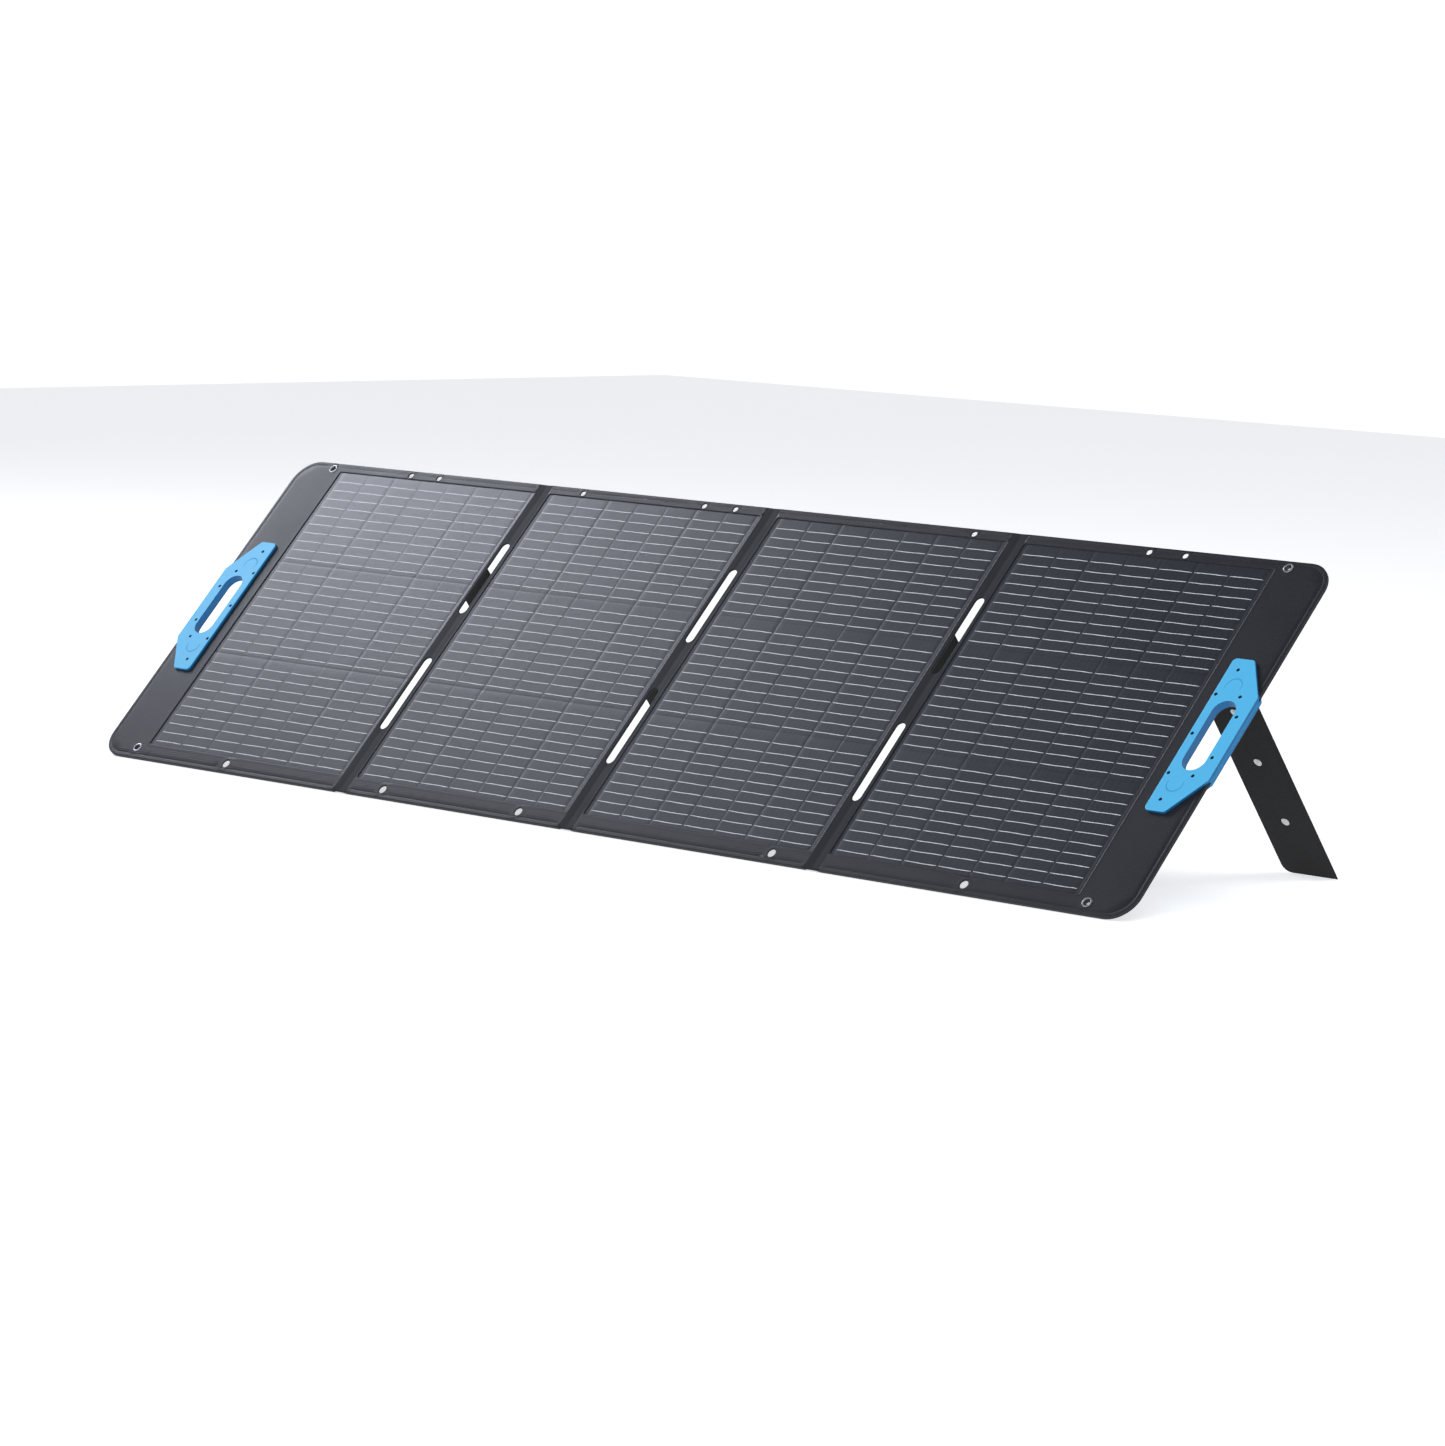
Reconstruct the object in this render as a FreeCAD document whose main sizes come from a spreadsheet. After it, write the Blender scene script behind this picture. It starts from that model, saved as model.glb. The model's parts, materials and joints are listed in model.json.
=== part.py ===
import FreeCAD, Part
import os
import Sketcher

# Folding four-section solar panel, standing on its bottom edge and four fold-out legs.
# Panel coordinates: x along the row of sections with 0 on the middle fold, v up the panel's
# slope from its bottom edge, n out of its front face. The stand placement then leans it back.
# Names: "near" is the edge towards the middle fold, "far" the edge away from it.

DIMENSIONS = {
    # Whole panel
    "tilt_angle": 46.97,
    "panel_rise": 605,
    "section_pitch": 479,
    "end_section": 556,
    "corner_round": 42,
    "fold_gap": 0.3,
    "fold_board_inset": 12,
    "edge_board_inset": 2.5,
    # Layers, front to back
    "front_skin": 1.0,
    "film_thick": 0.6,
    "ribbon_thick": 0.2,
    "cell_thick": 0.2,
    "backsheet_thick": 0.6,
    "board_thick": 2.0,
    "back_skin": 1.0,
    # Cells, each a third of a square wafer
    "cell_high": 182,
    "cell_wide": 60.67,
    "column_pitch": 61.6,
    "row_pitch": 186.7,
    "column_count": 7,
    "row_count": 3,
    "first_row_low": 31,
    "ribbon_count": 10,
    "ribbon_pitch": 17.57,
    "ribbon_wide": 1.2,
    "ribbon_low": 6.9,
    "end_cell_centre": 236.5,
    "window_side": 7,
    "window_rise": 1.6,
    "laminate_flange": 2,
    # Slots along the folds
    "slot_wide": 15,
    "slot_high": 138,
    "slot_low_centre": 190,
    "slot_high_centre": 417,
    # Round tie-down holes and corner eyelets
    "top_hole_round": 4.5,
    "top_hole_inset": 9.5,
    "bottom_hole_round": 6.5,
    "bottom_hole_inset": 15.5,
    "hole_pair_half": 32,
    "eyelet_end_inset": 76.5,
    "eyelet_top_inset": 12,
    "eyelet_bottom_inset": 19,
    "eyelet_bore": 4.25,
    "eyelet_barrel": 5,
    "eyelet_flange": 8,
    "eyelet_flange_thick": 1,
    # Carrying handles
    "handle_high": 260,
    "handle_wide": 75,
    "handle_overhang": 2,
    "handle_straight": 141,
    "handle_end": 35,
    "handle_front": 4,
    "handle_back": 3,
    "handle_corner": 7,
    "handle_edge": 1.2,
    "finger_wide": 38,
    "finger_high": 118,
    "finger_centre": 41,
    "collar_thick": 2,
    "screw_shank": 1.4,
    "screw_head": 2.7,
    "screw_head_deep": 1.8,
    "magnet_round": 10,
    "magnet_thick": 2.6,
    "magnet_rise": 83,
    "magnet_across": 26,
    # Fold-out legs
    "leg_pivot_v": 448,
    "leg_pivot_back": 3.4,
    "leg_open_angle": 80.6,
    "leg_length": 408.93,
    "leg_wide": 92,
    "leg_thick": 3.4,
    "leg_top_gap": 5,
    "leg_corner": 14,
    "leg_core_thick": 2,
    "leg_core_inset": 3,
    "leg_core_short": 26,
    "patch_high": 42,
    "patch_gap": 3,
    "patch_thick": 1,
    "snap_cap": 6.5,
    "snap_cap_thick": 1.2,
    "snap_stem": 1.8,
    "snap_back": 5,
    "snap_back_thick": 0.6,
    # Junction box behind section 1
    "box_wide": 84,
    "box_high": 65,
    "box_deep": 20,
    "box_wall": 2.5,
    "box_fold_inset": 190,
    "box_low": 480,
    "lid_thick": 2.5,
    "lid_overhang": 1.5,
    "gland_round": 7,
    "gland_bore": 3.5,
    "gland_long": 14,
    "diode_round": 3,
    "diode_long": 22,
}

X_AXIS = FreeCAD.Vector(1, 0, 0)
V_AXIS = FreeCAD.Vector(0, 1, 0)
N_AXIS = FreeCAD.Vector(0, 0, 1)

# Each section: the side of the middle fold that it is on, and whether it is an end section.
SECTIONS = {
    "section_1": (-1, True),
    "section_2": (-1, False),
    "section_3": (1, False),
    "section_4": (1, True),
}
# Centre of each group of tie-down holes: (x, two holes at the top instead of one).
HOLE_GROUPS = {
    "section_1": [(-747, True)],
    "section_2": [(-395, False), (-106.5, True)],
    "section_3": [(395, False)],
    "section_4": [(747, True)],
}
# Screws of a handle: distance from its inner side, and along v from its middle.
HANDLE_SCREWS = [
    (18, 110.7), (18, -110.7),
    (5.7, 67.4), (5.7, -67.4),
    (46.6, 67.4), (46.6, -67.4),
    (59.7, 34.7), (59.7, -34.7),
    (5.7, 0),
]
# Distances of a leg's snap fasteners from its foot.
LEG_SNAPS = [101, 210, 300]
# Middle line of each leg, measured from the middle fold.
LEG_CENTRES = {"section_1": -553, "section_2": -254, "section_3": 387, "section_4": 899}

doc = FreeCAD.newDocument("FoldingSolarPanel")
dims = doc.addObject("Spreadsheet::Sheet", "dims")
for row, (alias, number) in enumerate(DIMENSIONS.items(), start=1):
    dims.set(f"A{row}", alias)
    dims.set(f"B{row}", str(number))
    dims.setAlias(f"B{row}", alias)
doc.recompute()

sub_parts = {}


def size(expression):
    """Value of an expression of the sheet's cells."""
    return float(dims.evalExpression(str(expression)))


def add_sub_part(item, label, placement=None):
    """Register a finished sub-part, with its place in panel coordinates."""
    item.Label = label
    sub_parts[label] = (item, placement or FreeCAD.Placement())


def add_solids(label, solids, placement=None):
    """Register a group of equal solids as one sub-part."""
    group = doc.addObject("Part::Feature", label)
    group.Shape = Part.makeCompound(solids)
    add_sub_part(group, label, placement)


def new_sketch(body, name, level, role="XY_Plane"):
    """Sketch on one of the body's own origin planes, moved along its normal to a level."""
    sketch = body.newObject("Sketcher::SketchObject", f"{body.Name}_{name}")
    plane = next(item for item in body.Origin.OriginFeatures if item.Role == role)
    sketch.AttachmentSupport = (plane, "")
    sketch.MapMode = "FlatFace"
    sketch.setExpression("AttachmentOffset.Base.z", level)
    return sketch


def bind(sketch, kind, index, point, expression):
    """Constrain one coordinate of a sketch point to an expression of the sheet."""
    number = sketch.addConstraint(Sketcher.Constraint(kind, -1, 1, index, point, size(expression)))
    sketch.setExpression(f"Constraints[{number}]", expression)


def draw_polygon(sketch, corners):
    """Closed outline through corners given as pairs of expressions."""
    points = [FreeCAD.Vector(size(across), size(along), 0) for across, along in corners]
    first = sketch.GeometryCount
    count = len(points)
    for index, point in enumerate(points):
        sketch.addGeometry(Part.LineSegment(point, points[(index + 1) % count]), False)
    for index in range(count):
        following = first + (index + 1) % count
        sketch.addConstraint(Sketcher.Constraint("Coincident", first + index, 2, following, 1))
    for index, (across, along) in enumerate(corners):
        bind(sketch, "DistanceX", first + index, 1, across)
        bind(sketch, "DistanceY", first + index, 1, along)


def draw_rectangle(sketch, left, right, low, high):
    """Rectangle between four expressions."""
    draw_polygon(sketch, [(left, low), (right, low), (right, high), (left, high)])


def draw_circles(sketch, centres, radius):
    """Equal circles at centres given as pairs of expressions."""
    for across, along in centres:
        middle = FreeCAD.Vector(size(across), size(along), 0)
        index = sketch.addGeometry(Part.Circle(middle, N_AXIS, size(radius)), False)
        number = sketch.addConstraint(Sketcher.Constraint("Radius", index, size(radius)))
        sketch.setExpression(f"Constraints[{number}]", radius)
        bind(sketch, "DistanceX", index, 3, across)
        bind(sketch, "DistanceY", index, 3, along)


def draw_stadium(sketch, across, along, wide, high):
    """Upright slot with round ends, centred on (across, along)."""
    radius = f"({wide})/2"
    top = f"{along} + ({high})/2 - {radius}"
    bottom = f"{along} - ({high})/2 + {radius}"
    reach = size(radius)
    upper = FreeCAD.Vector(size(across), size(top), 0)
    lower = FreeCAD.Vector(size(across), size(bottom), 0)
    side = FreeCAD.Vector(reach, 0, 0)
    half_turn = 3.141592653589793
    upper_arc = sketch.addGeometry(
        Part.ArcOfCircle(Part.Circle(upper, N_AXIS, reach), 0, half_turn), False)
    left_line = sketch.addGeometry(Part.LineSegment(upper - side, lower - side), False)
    lower_arc = sketch.addGeometry(
        Part.ArcOfCircle(Part.Circle(lower, N_AXIS, reach), half_turn, 2 * half_turn), False)
    right_line = sketch.addGeometry(Part.LineSegment(lower + side, upper + side), False)
    sketch.addConstraint(Sketcher.Constraint("Tangent", upper_arc, 2, left_line, 1))
    sketch.addConstraint(Sketcher.Constraint("Tangent", left_line, 2, lower_arc, 1))
    sketch.addConstraint(Sketcher.Constraint("Tangent", lower_arc, 2, right_line, 1))
    sketch.addConstraint(Sketcher.Constraint("Tangent", right_line, 2, upper_arc, 1))
    sketch.addConstraint(Sketcher.Constraint("Equal", upper_arc, lower_arc))
    number = sketch.addConstraint(Sketcher.Constraint("Radius", upper_arc, reach))
    sketch.setExpression(f"Constraints[{number}]", radius)
    bind(sketch, "DistanceX", upper_arc, 3, across)
    bind(sketch, "DistanceY", upper_arc, 3, top)
    bind(sketch, "DistanceX", lower_arc, 3, across)
    bind(sketch, "DistanceY", lower_arc, 3, bottom)


def pad(body, sketch, length, downwards=False):
    """Pad a sketch by a length given as an expression."""
    feature = body.newObject("PartDesign::Pad", f"{sketch.Name}_pad")
    feature.Profile = sketch
    feature.setExpression("Length", length)
    feature.Reversed = downwards
    sketch.Visibility = False
    doc.recompute()
    return feature


def pocket(body, sketch, depth, upwards=False):
    """Pocket a sketch by a depth given as an expression, and prove that it removes material."""
    before = body.Shape.Volume
    feature = body.newObject("PartDesign::Pocket", f"{sketch.Name}_pocket")
    feature.Profile = sketch
    feature.setExpression("Length", depth)
    feature.Reversed = upwards
    sketch.Visibility = False
    doc.recompute()
    if body.Shape.Volume >= before:
        raise RuntimeError(f"{feature.Name} cuts nothing")
    return feature


def round_edges(body, feature, radius, is_wanted):
    """Fillet the edges of a feature that a test picks."""
    doc.recompute()
    names = [f"Edge{number}" for number, edge in enumerate(feature.Shape.Edges, start=1)
             if is_wanted(edge.BoundBox)]
    fillet = body.newObject("PartDesign::Fillet", f"{feature.Name}_round")
    fillet.Base = (feature, names)
    fillet.setExpression("Radius", radius)
    doc.recompute()
    return fillet


def sided(side, expression):
    """Put a distance from the middle fold on its side of the panel."""
    return f"{side} * ({expression})"


def cylinder(radius, length, across, along, level, direction=N_AXIS):
    """Round solid that starts at a point of the panel coordinates."""
    return Part.makeCylinder(radius, length, FreeCAD.Vector(across, along, level), direction)


# Levels along n, from the front face back.
FRONT_SKIN_BACK = "-dims.front_skin"
RIBBON_FRONT = "-(dims.front_skin + dims.film_thick)"
CELL_FRONT = "-(dims.front_skin + dims.film_thick + dims.ribbon_thick)"
CELL_BACK = "-(dims.front_skin + dims.film_thick + dims.ribbon_thick + dims.cell_thick)"
LAMINATE = "(dims.film_thick + dims.ribbon_thick + dims.cell_thick + dims.backsheet_thick)"
LAMINATE_BACK = f"-(dims.front_skin + {LAMINATE})"
COVER = f"(dims.front_skin + {LAMINATE} + dims.board_thick)"
PANEL = f"({COVER} + dims.back_skin)"
# Where each section's edges, board, window and laminate lie, measured from the middle fold.
WINDOW_LOW = "(dims.first_row_low - dims.window_rise)"
WINDOW_HIGH = ("(dims.first_row_low + (dims.row_count - 1) * dims.row_pitch"
               " + dims.cell_high + dims.window_rise)")
WINDOW_HALF = ("(((dims.column_count - 1) * dims.column_pitch + dims.cell_wide) / 2"
               " + dims.window_side)")
MIDDLE = "(dims.panel_rise / 2)"


def near_fold(is_end):
    return "dims.section_pitch" if is_end else "0"


def far_edge(is_end, fold_inset, edge_inset):
    """Far edge of a layer: at the next fold, or at the panel's own end."""
    if is_end:
        return f"dims.section_pitch + dims.end_section - {edge_inset}"
    return f"dims.section_pitch - {fold_inset}"


def cell_centre(is_end):
    if is_end:
        return "(dims.section_pitch + dims.end_cell_centre)"
    return "(dims.section_pitch / 2)"


def layer(name, section, fold_inset, edge_inset, bottom, thick, corner):
    """A section-wide plate; an end section's outer corners are rounded."""
    side, is_end = SECTIONS[section]
    body = doc.addObject("PartDesign::Body", name)
    sketch = new_sketch(body, "outline", bottom)
    near = sided(side, f"{near_fold(is_end)} + {fold_inset}")
    far = sided(side, far_edge(is_end, fold_inset, edge_inset))
    draw_rectangle(sketch, near, far, edge_inset, f"dims.panel_rise - {edge_inset}")
    plate = pad(body, sketch, thick)
    if is_end:
        reach = abs(size(far)) - 1
        height = size(thick)
        round_edges(body, plate, corner,
                    lambda box: box.ZLength > 0.9 * height and abs(box.XMin) > reach)
    return body


def screw_places(side):
    """Handle screws in panel coordinates."""
    inner = "(dims.section_pitch + dims.end_section + dims.handle_overhang - dims.handle_wide)"
    return [(sided(side, f"{inner} + {across}"), f"{MIDDLE} + {along}")
            for across, along in HANDLE_SCREWS]


def finger_place(side):
    outer = "dims.section_pitch + dims.end_section + dims.handle_overhang"
    return sided(side, f"{outer} - dims.finger_centre")


def eyelet_places(side):
    across = sided(side, "dims.section_pitch + dims.end_section - dims.eyelet_end_inset")
    return [(across, "dims.panel_rise - dims.eyelet_top_inset"),
            (across, "dims.eyelet_bottom_inset")]


def cut_openings(body, section, level, depth, with_slots=True):
    """Cut every slot and hole that passes through a section's layers."""
    side, is_end = SECTIONS[section]
    if with_slots:
        sketch = new_sketch(body, "fold_slots", level)
        folds = ["dims.section_pitch"] if is_end else ["0", "dims.section_pitch"]
        for fold in folds:
            for centre in ("dims.slot_low_centre", "dims.slot_high_centre"):
                draw_stadium(sketch, sided(side, fold), centre, "dims.slot_wide", "dims.slot_high")
        pocket(body, sketch, depth)
    top = []
    bottom = []
    for across, is_pair in HOLE_GROUPS[section]:
        offsets = ["-dims.hole_pair_half", "+dims.hole_pair_half"] if is_pair else [""]
        top += [(f"{across} {offset}", "dims.panel_rise - dims.top_hole_inset")
                for offset in offsets]
        bottom.append((str(across), "dims.bottom_hole_inset"))
    sketch = new_sketch(body, "top_holes", level)
    draw_circles(sketch, top, "dims.top_hole_round")
    pocket(body, sketch, depth)
    sketch = new_sketch(body, "bottom_holes", level)
    draw_circles(sketch, bottom, "dims.bottom_hole_round")
    pocket(body, sketch, depth)
    if is_end:
        sketch = new_sketch(body, "eyelet_holes", level)
        draw_circles(sketch, eyelet_places(side), "dims.eyelet_barrel")
        pocket(body, sketch, depth)
        sketch = new_sketch(body, "finger_hole", level)
        collar = "+ 2 * dims.collar_thick"
        draw_stadium(sketch, finger_place(side), MIDDLE,
                     f"dims.finger_wide {collar}", f"dims.finger_high {collar}")
        pocket(body, sketch, depth)
        sketch = new_sketch(body, "screw_holes", level)
        draw_circles(sketch, screw_places(side), "dims.screw_shank")
        pocket(body, sketch, depth)


def build_section(section):
    """Fabric covers, board and laminate of one section."""
    side, is_end = SECTIONS[section]
    centre = cell_centre(is_end)
    window = (sided(side, f"{centre} - {WINDOW_HALF}"), sided(side, f"{centre} + {WINDOW_HALF}"))
    flange = f"({WINDOW_HALF} + dims.laminate_flange)"
    laminate = (sided(side, f"{centre} - {flange}"), sided(side, f"{centre} + {flange}"))
    laminate_low = f"{WINDOW_LOW} - dims.laminate_flange"
    laminate_high = f"{WINDOW_HIGH} + dims.laminate_flange"
    board_corner = "dims.corner_round - dims.edge_board_inset"

    front = layer(f"{section}_front_blank", section, "dims.fold_gap", "0",
                  f"-{COVER}", COVER, "dims.corner_round")
    sketch = new_sketch(front, "window", "0")
    draw_rectangle(sketch, *window, WINDOW_LOW, WINDOW_HIGH)
    pocket(front, sketch, COVER)
    cut_openings(front, section, "0", COVER)
    board_space = layer(f"{section}_board_space", section, "dims.fold_board_inset",
                        "dims.edge_board_inset", f"-{COVER}", f"{COVER} - dims.front_skin",
                        board_corner)
    cover = doc.addObject("Part::Cut", f"{section}_front_cover")
    cover.Base = front
    cover.Tool = board_space
    doc.recompute()
    add_sub_part(cover, f"{section}_front_cover")

    board = layer(f"{section}_board", section, "dims.fold_board_inset", "dims.edge_board_inset",
                  f"-{COVER}", f"{COVER} - dims.front_skin", board_corner)
    sketch = new_sketch(board, "laminate_recess", FRONT_SKIN_BACK)
    draw_rectangle(sketch, *laminate, laminate_low, laminate_high)
    pocket(board, sketch, LAMINATE)
    cut_openings(board, section, FRONT_SKIN_BACK, COVER, with_slots=False)
    add_sub_part(board, f"{section}_board")

    back = layer(f"{section}_back_cover", section, "dims.fold_gap", "0",
                 f"-{PANEL}", "dims.back_skin", "dims.corner_round")
    cut_openings(back, section, f"-{COVER}", "dims.back_skin")
    add_sub_part(back, f"{section}_back_cover")

    for name, bottom, thick in (("film", RIBBON_FRONT, "dims.film_thick"),
                                ("backsheet", LAMINATE_BACK, "dims.backsheet_thick")):
        body = doc.addObject("PartDesign::Body", f"{section}_{name}")
        sketch = new_sketch(body, "outline", bottom)
        draw_rectangle(sketch, *laminate, laminate_low, laminate_high)
        pad(body, sketch, thick)
        add_sub_part(body, f"{section}_{name}")

    add_cells(section, side * size(centre))


def add_cells(section, centre):
    """Rows of cells, and the ribbons that run along each row."""
    columns = int(size("dims.column_count"))
    rows = int(size("dims.row_count"))
    ribbons = int(size("dims.ribbon_count"))
    wide = size("dims.cell_wide")
    high = size("dims.cell_high")
    block = (columns - 1) * size("dims.column_pitch") + wide
    left = centre - block / 2
    cells = []
    strips = []
    for row in range(rows):
        low = size("dims.first_row_low") + row * size("dims.row_pitch")
        for column in range(columns):
            corner = FreeCAD.Vector(left + column * size("dims.column_pitch"), low, size(CELL_BACK))
            cells.append(Part.makeBox(wide, high, size("dims.cell_thick"), corner))
        for ribbon in range(ribbons):
            along = low + size("dims.ribbon_low") + ribbon * size("dims.ribbon_pitch")
            corner = FreeCAD.Vector(left, along - size("dims.ribbon_wide") / 2, size(CELL_FRONT))
            strips.append(Part.makeBox(block, size("dims.ribbon_wide"), size("dims.ribbon_thick"),
                                       corner))
    add_solids(f"{section}_cells", cells)
    add_solids(f"{section}_ribbons", strips)


def handle_outline(sketch, side):
    """Handle plate: straight inner side, outer corners cut off at a slant."""
    outer = "(dims.section_pitch + dims.end_section + dims.handle_overhang)"
    inner = sided(side, f"{outer} - dims.handle_wide")
    end = sided(side, f"{outer} - dims.handle_wide + dims.handle_end")
    grip = sided(side, outer)
    draw_polygon(sketch, [
        (inner, f"{MIDDLE} - dims.handle_high / 2"),
        (end, f"{MIDDLE} - dims.handle_high / 2"),
        (grip, f"{MIDDLE} - dims.handle_straight / 2"),
        (grip, f"{MIDDLE} + dims.handle_straight / 2"),
        (end, f"{MIDDLE} + dims.handle_high / 2"),
        (inner, f"{MIDDLE} + dims.handle_high / 2"),
    ])


def magnet_places(side):
    inner = "(dims.section_pitch + dims.end_section + dims.handle_overhang - dims.handle_wide)"
    across = sided(side, f"{inner} + dims.magnet_across")
    return [(across, f"{MIDDLE} + dims.magnet_rise"), (across, f"{MIDDLE} - dims.magnet_rise")]


def build_handle(name, side):
    """Two moulded plates clamped on the panel's end, their screws and hidden magnets."""
    front = doc.addObject("PartDesign::Body", f"{name}_handle_front")
    sketch = new_sketch(front, "outline", "0")
    handle_outline(sketch, side)
    plate = pad(front, sketch, "dims.handle_front")
    height = size("dims.handle_front")
    plate = round_edges(front, plate, "dims.handle_corner", lambda box: box.ZLength > 0.9 * height)
    round_edges(front, plate, "dims.handle_edge",
                lambda box: box.ZLength < 0.01 and box.ZMin > 0.9 * height)
    sketch = new_sketch(front, "collar", "0")
    collar = "+ 2 * dims.collar_thick"
    draw_stadium(sketch, finger_place(side), MIDDLE,
                 f"dims.finger_wide {collar}", f"dims.finger_high {collar}")
    pad(front, sketch, PANEL, downwards=True)
    sketch = new_sketch(front, "finger_hole", "dims.handle_front")
    draw_stadium(sketch, finger_place(side), MIDDLE, "dims.finger_wide", "dims.finger_high")
    pocket(front, sketch, f"dims.handle_front + {PANEL}")
    sketch = new_sketch(front, "head_recesses", "dims.handle_front")
    draw_circles(sketch, screw_places(side), "dims.screw_head")
    pocket(front, sketch, "dims.screw_head_deep")
    sketch = new_sketch(front, "screw_holes", "dims.handle_front")
    draw_circles(sketch, screw_places(side), "dims.screw_shank")
    pocket(front, sketch, "dims.handle_front")
    sketch = new_sketch(front, "magnet_seats", "0")
    draw_circles(sketch, magnet_places(side), "dims.magnet_round")
    pocket(front, sketch, "dims.magnet_thick", upwards=True)
    add_sub_part(front, f"{name}_handle_front")

    back = doc.addObject("PartDesign::Body", f"{name}_handle_back")
    back_level = f"-({PANEL} + dims.handle_back)"
    sketch = new_sketch(back, "outline", back_level)
    handle_outline(sketch, side)
    plate = pad(back, sketch, "dims.handle_back")
    thick = size("dims.handle_back")
    plate = round_edges(back, plate, "dims.handle_corner", lambda box: box.ZLength > 0.9 * thick)
    level = size(back_level)
    round_edges(back, plate, "dims.handle_edge",
                lambda box: box.ZLength < 0.01 and abs(box.ZMin - level) < 0.01)
    sketch = new_sketch(back, "finger_hole", f"-{PANEL}")
    draw_stadium(sketch, finger_place(side), MIDDLE, "dims.finger_wide", "dims.finger_high")
    pocket(back, sketch, "dims.handle_back")
    sketch = new_sketch(back, "screw_holes", f"-{PANEL}")
    draw_circles(sketch, screw_places(side), "dims.screw_shank")
    pocket(back, sketch, "dims.handle_back - 0.8")
    add_sub_part(back, f"{name}_handle_back")

    head_top = size("dims.handle_front")
    head_deep = size("dims.screw_head_deep")
    shank_long = head_top - head_deep + size(PANEL) + size("dims.handle_back") - 0.8
    screws = []
    for across, along in screw_places(side):
        head = cylinder(size("dims.screw_head"), head_deep, size(across), size(along),
                        head_top - head_deep)
        shank = cylinder(size("dims.screw_shank"), shank_long, size(across), size(along),
                         head_top - head_deep - shank_long)
        screws.append(head.fuse(shank).removeSplitter())
    add_solids(f"{name}_handle_screws", screws)
    magnets = [cylinder(size("dims.magnet_round"), size("dims.magnet_thick"),
                        size(across), size(along), 0)
               for across, along in magnet_places(side)]
    add_solids(f"{name}_handle_magnets", magnets)


def build_eyelets(name, side):
    """Metal eyelets at the two corners of one end."""
    thick = size("dims.eyelet_flange_thick")
    panel = size(PANEL)
    rings = []
    for across, along in eyelet_places(side):
        place = (size(across), size(along))
        front = cylinder(size("dims.eyelet_flange"), thick, *place, 0)
        back = cylinder(size("dims.eyelet_flange"), thick, *place, -panel - thick)
        barrel = cylinder(size("dims.eyelet_barrel"), panel, *place, -panel)
        bore = cylinder(size("dims.eyelet_bore"), panel + 2 * thick, *place, -panel - thick)
        rings.append(front.fuse([barrel, back]).cut(bore).removeSplitter())
    add_solids(f"{name}_eyelets", rings)


def build_leg(section):
    """Fold-out leg: fabric sleeve, stiff core, snap fasteners and its hinge patch.

    The leg is drawn closed, pointing down the panel from its hinge line at the origin.
    """
    side = SECTIONS[section][0]
    name = section.replace("section", "leg")
    centre = LEG_CENTRES[section]
    hinge = FreeCAD.Vector(centre, size("dims.leg_pivot_v"),
                           -size(f"{PANEL} + dims.leg_pivot_back"))
    opened = FreeCAD.Placement(hinge, FreeCAD.Rotation(X_AXIS, size("dims.leg_open_angle")))
    snap_centres = [("0", f"{distance} - dims.leg_length") for distance in LEG_SNAPS]

    sleeve = doc.addObject("PartDesign::Body", f"{name}_sleeve")
    sketch = new_sketch(sleeve, "outline", "-dims.leg_thick / 2")
    outer = sided(side, "dims.leg_wide / 2")
    inner = sided(-side, "dims.leg_wide / 2")
    slant = sided(-side, "dims.leg_wide / 2 - dims.leg_corner")
    draw_polygon(sketch, [
        (outer, "-dims.leg_top_gap"),
        (outer, "-dims.leg_length"),
        (slant, "-dims.leg_length"),
        (inner, "dims.leg_corner - dims.leg_length"),
        (inner, "-dims.leg_top_gap"),
    ])
    pad(sleeve, sketch, "dims.leg_thick")
    core_half = "(dims.leg_wide / 2 - dims.leg_core_inset)"
    sketch = new_sketch(sleeve, "core_space", "dims.leg_top_gap", role="XZ_Plane")
    draw_rectangle(sketch, f"-{core_half}", core_half,
                   "-dims.leg_core_thick / 2", "dims.leg_core_thick / 2")
    core_long = "(dims.leg_length - dims.leg_top_gap - dims.leg_core_short)"
    pocket(sleeve, sketch, core_long, upwards=True)
    sketch = new_sketch(sleeve, "snap_holes", "dims.leg_thick / 2")
    draw_circles(sketch, snap_centres, "dims.snap_stem")
    pocket(sleeve, sketch, "dims.leg_thick")
    add_sub_part(sleeve, f"{name}_sleeve", opened)

    core = doc.addObject("PartDesign::Body", f"{name}_core")
    sketch = new_sketch(core, "outline", "-dims.leg_core_thick / 2")
    draw_rectangle(sketch, f"-{core_half}", core_half,
                   f"-dims.leg_top_gap - {core_long}", "-dims.leg_top_gap")
    pad(core, sketch, "dims.leg_core_thick")
    sketch = new_sketch(core, "snap_holes", "dims.leg_core_thick / 2")
    draw_circles(sketch, snap_centres, "dims.snap_stem")
    pocket(core, sketch, "dims.leg_core_thick")
    add_sub_part(core, f"{name}_core", opened)

    half = size("dims.leg_thick") / 2
    snaps = []
    for across, along in snap_centres:
        place = (size(across), size(along))
        cap = cylinder(size("dims.snap_cap"), size("dims.snap_cap_thick"), *place, half)
        stem = cylinder(size("dims.snap_stem"), 2 * half, *place, -half)
        rivet = cylinder(size("dims.snap_back"), size("dims.snap_back_thick"), *place,
                         -half - size("dims.snap_back_thick"))
        snaps.append(cap.fuse([stem, rivet]).removeSplitter())
    add_solids(f"{name}_snaps", snaps, opened)

    patch = doc.addObject("PartDesign::Body", f"{name}_hinge_patch")
    sketch = new_sketch(patch, "outline", f"-({PANEL} + dims.patch_thick)")
    patch_low = "dims.leg_pivot_v + dims.patch_gap"
    draw_rectangle(sketch, f"{centre} - dims.leg_wide / 2", f"{centre} + dims.leg_wide / 2",
                   patch_low, f"{patch_low} + dims.patch_high")
    pad(patch, sketch, "dims.patch_thick")
    add_sub_part(patch, f"{name}_hinge_patch")


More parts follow.
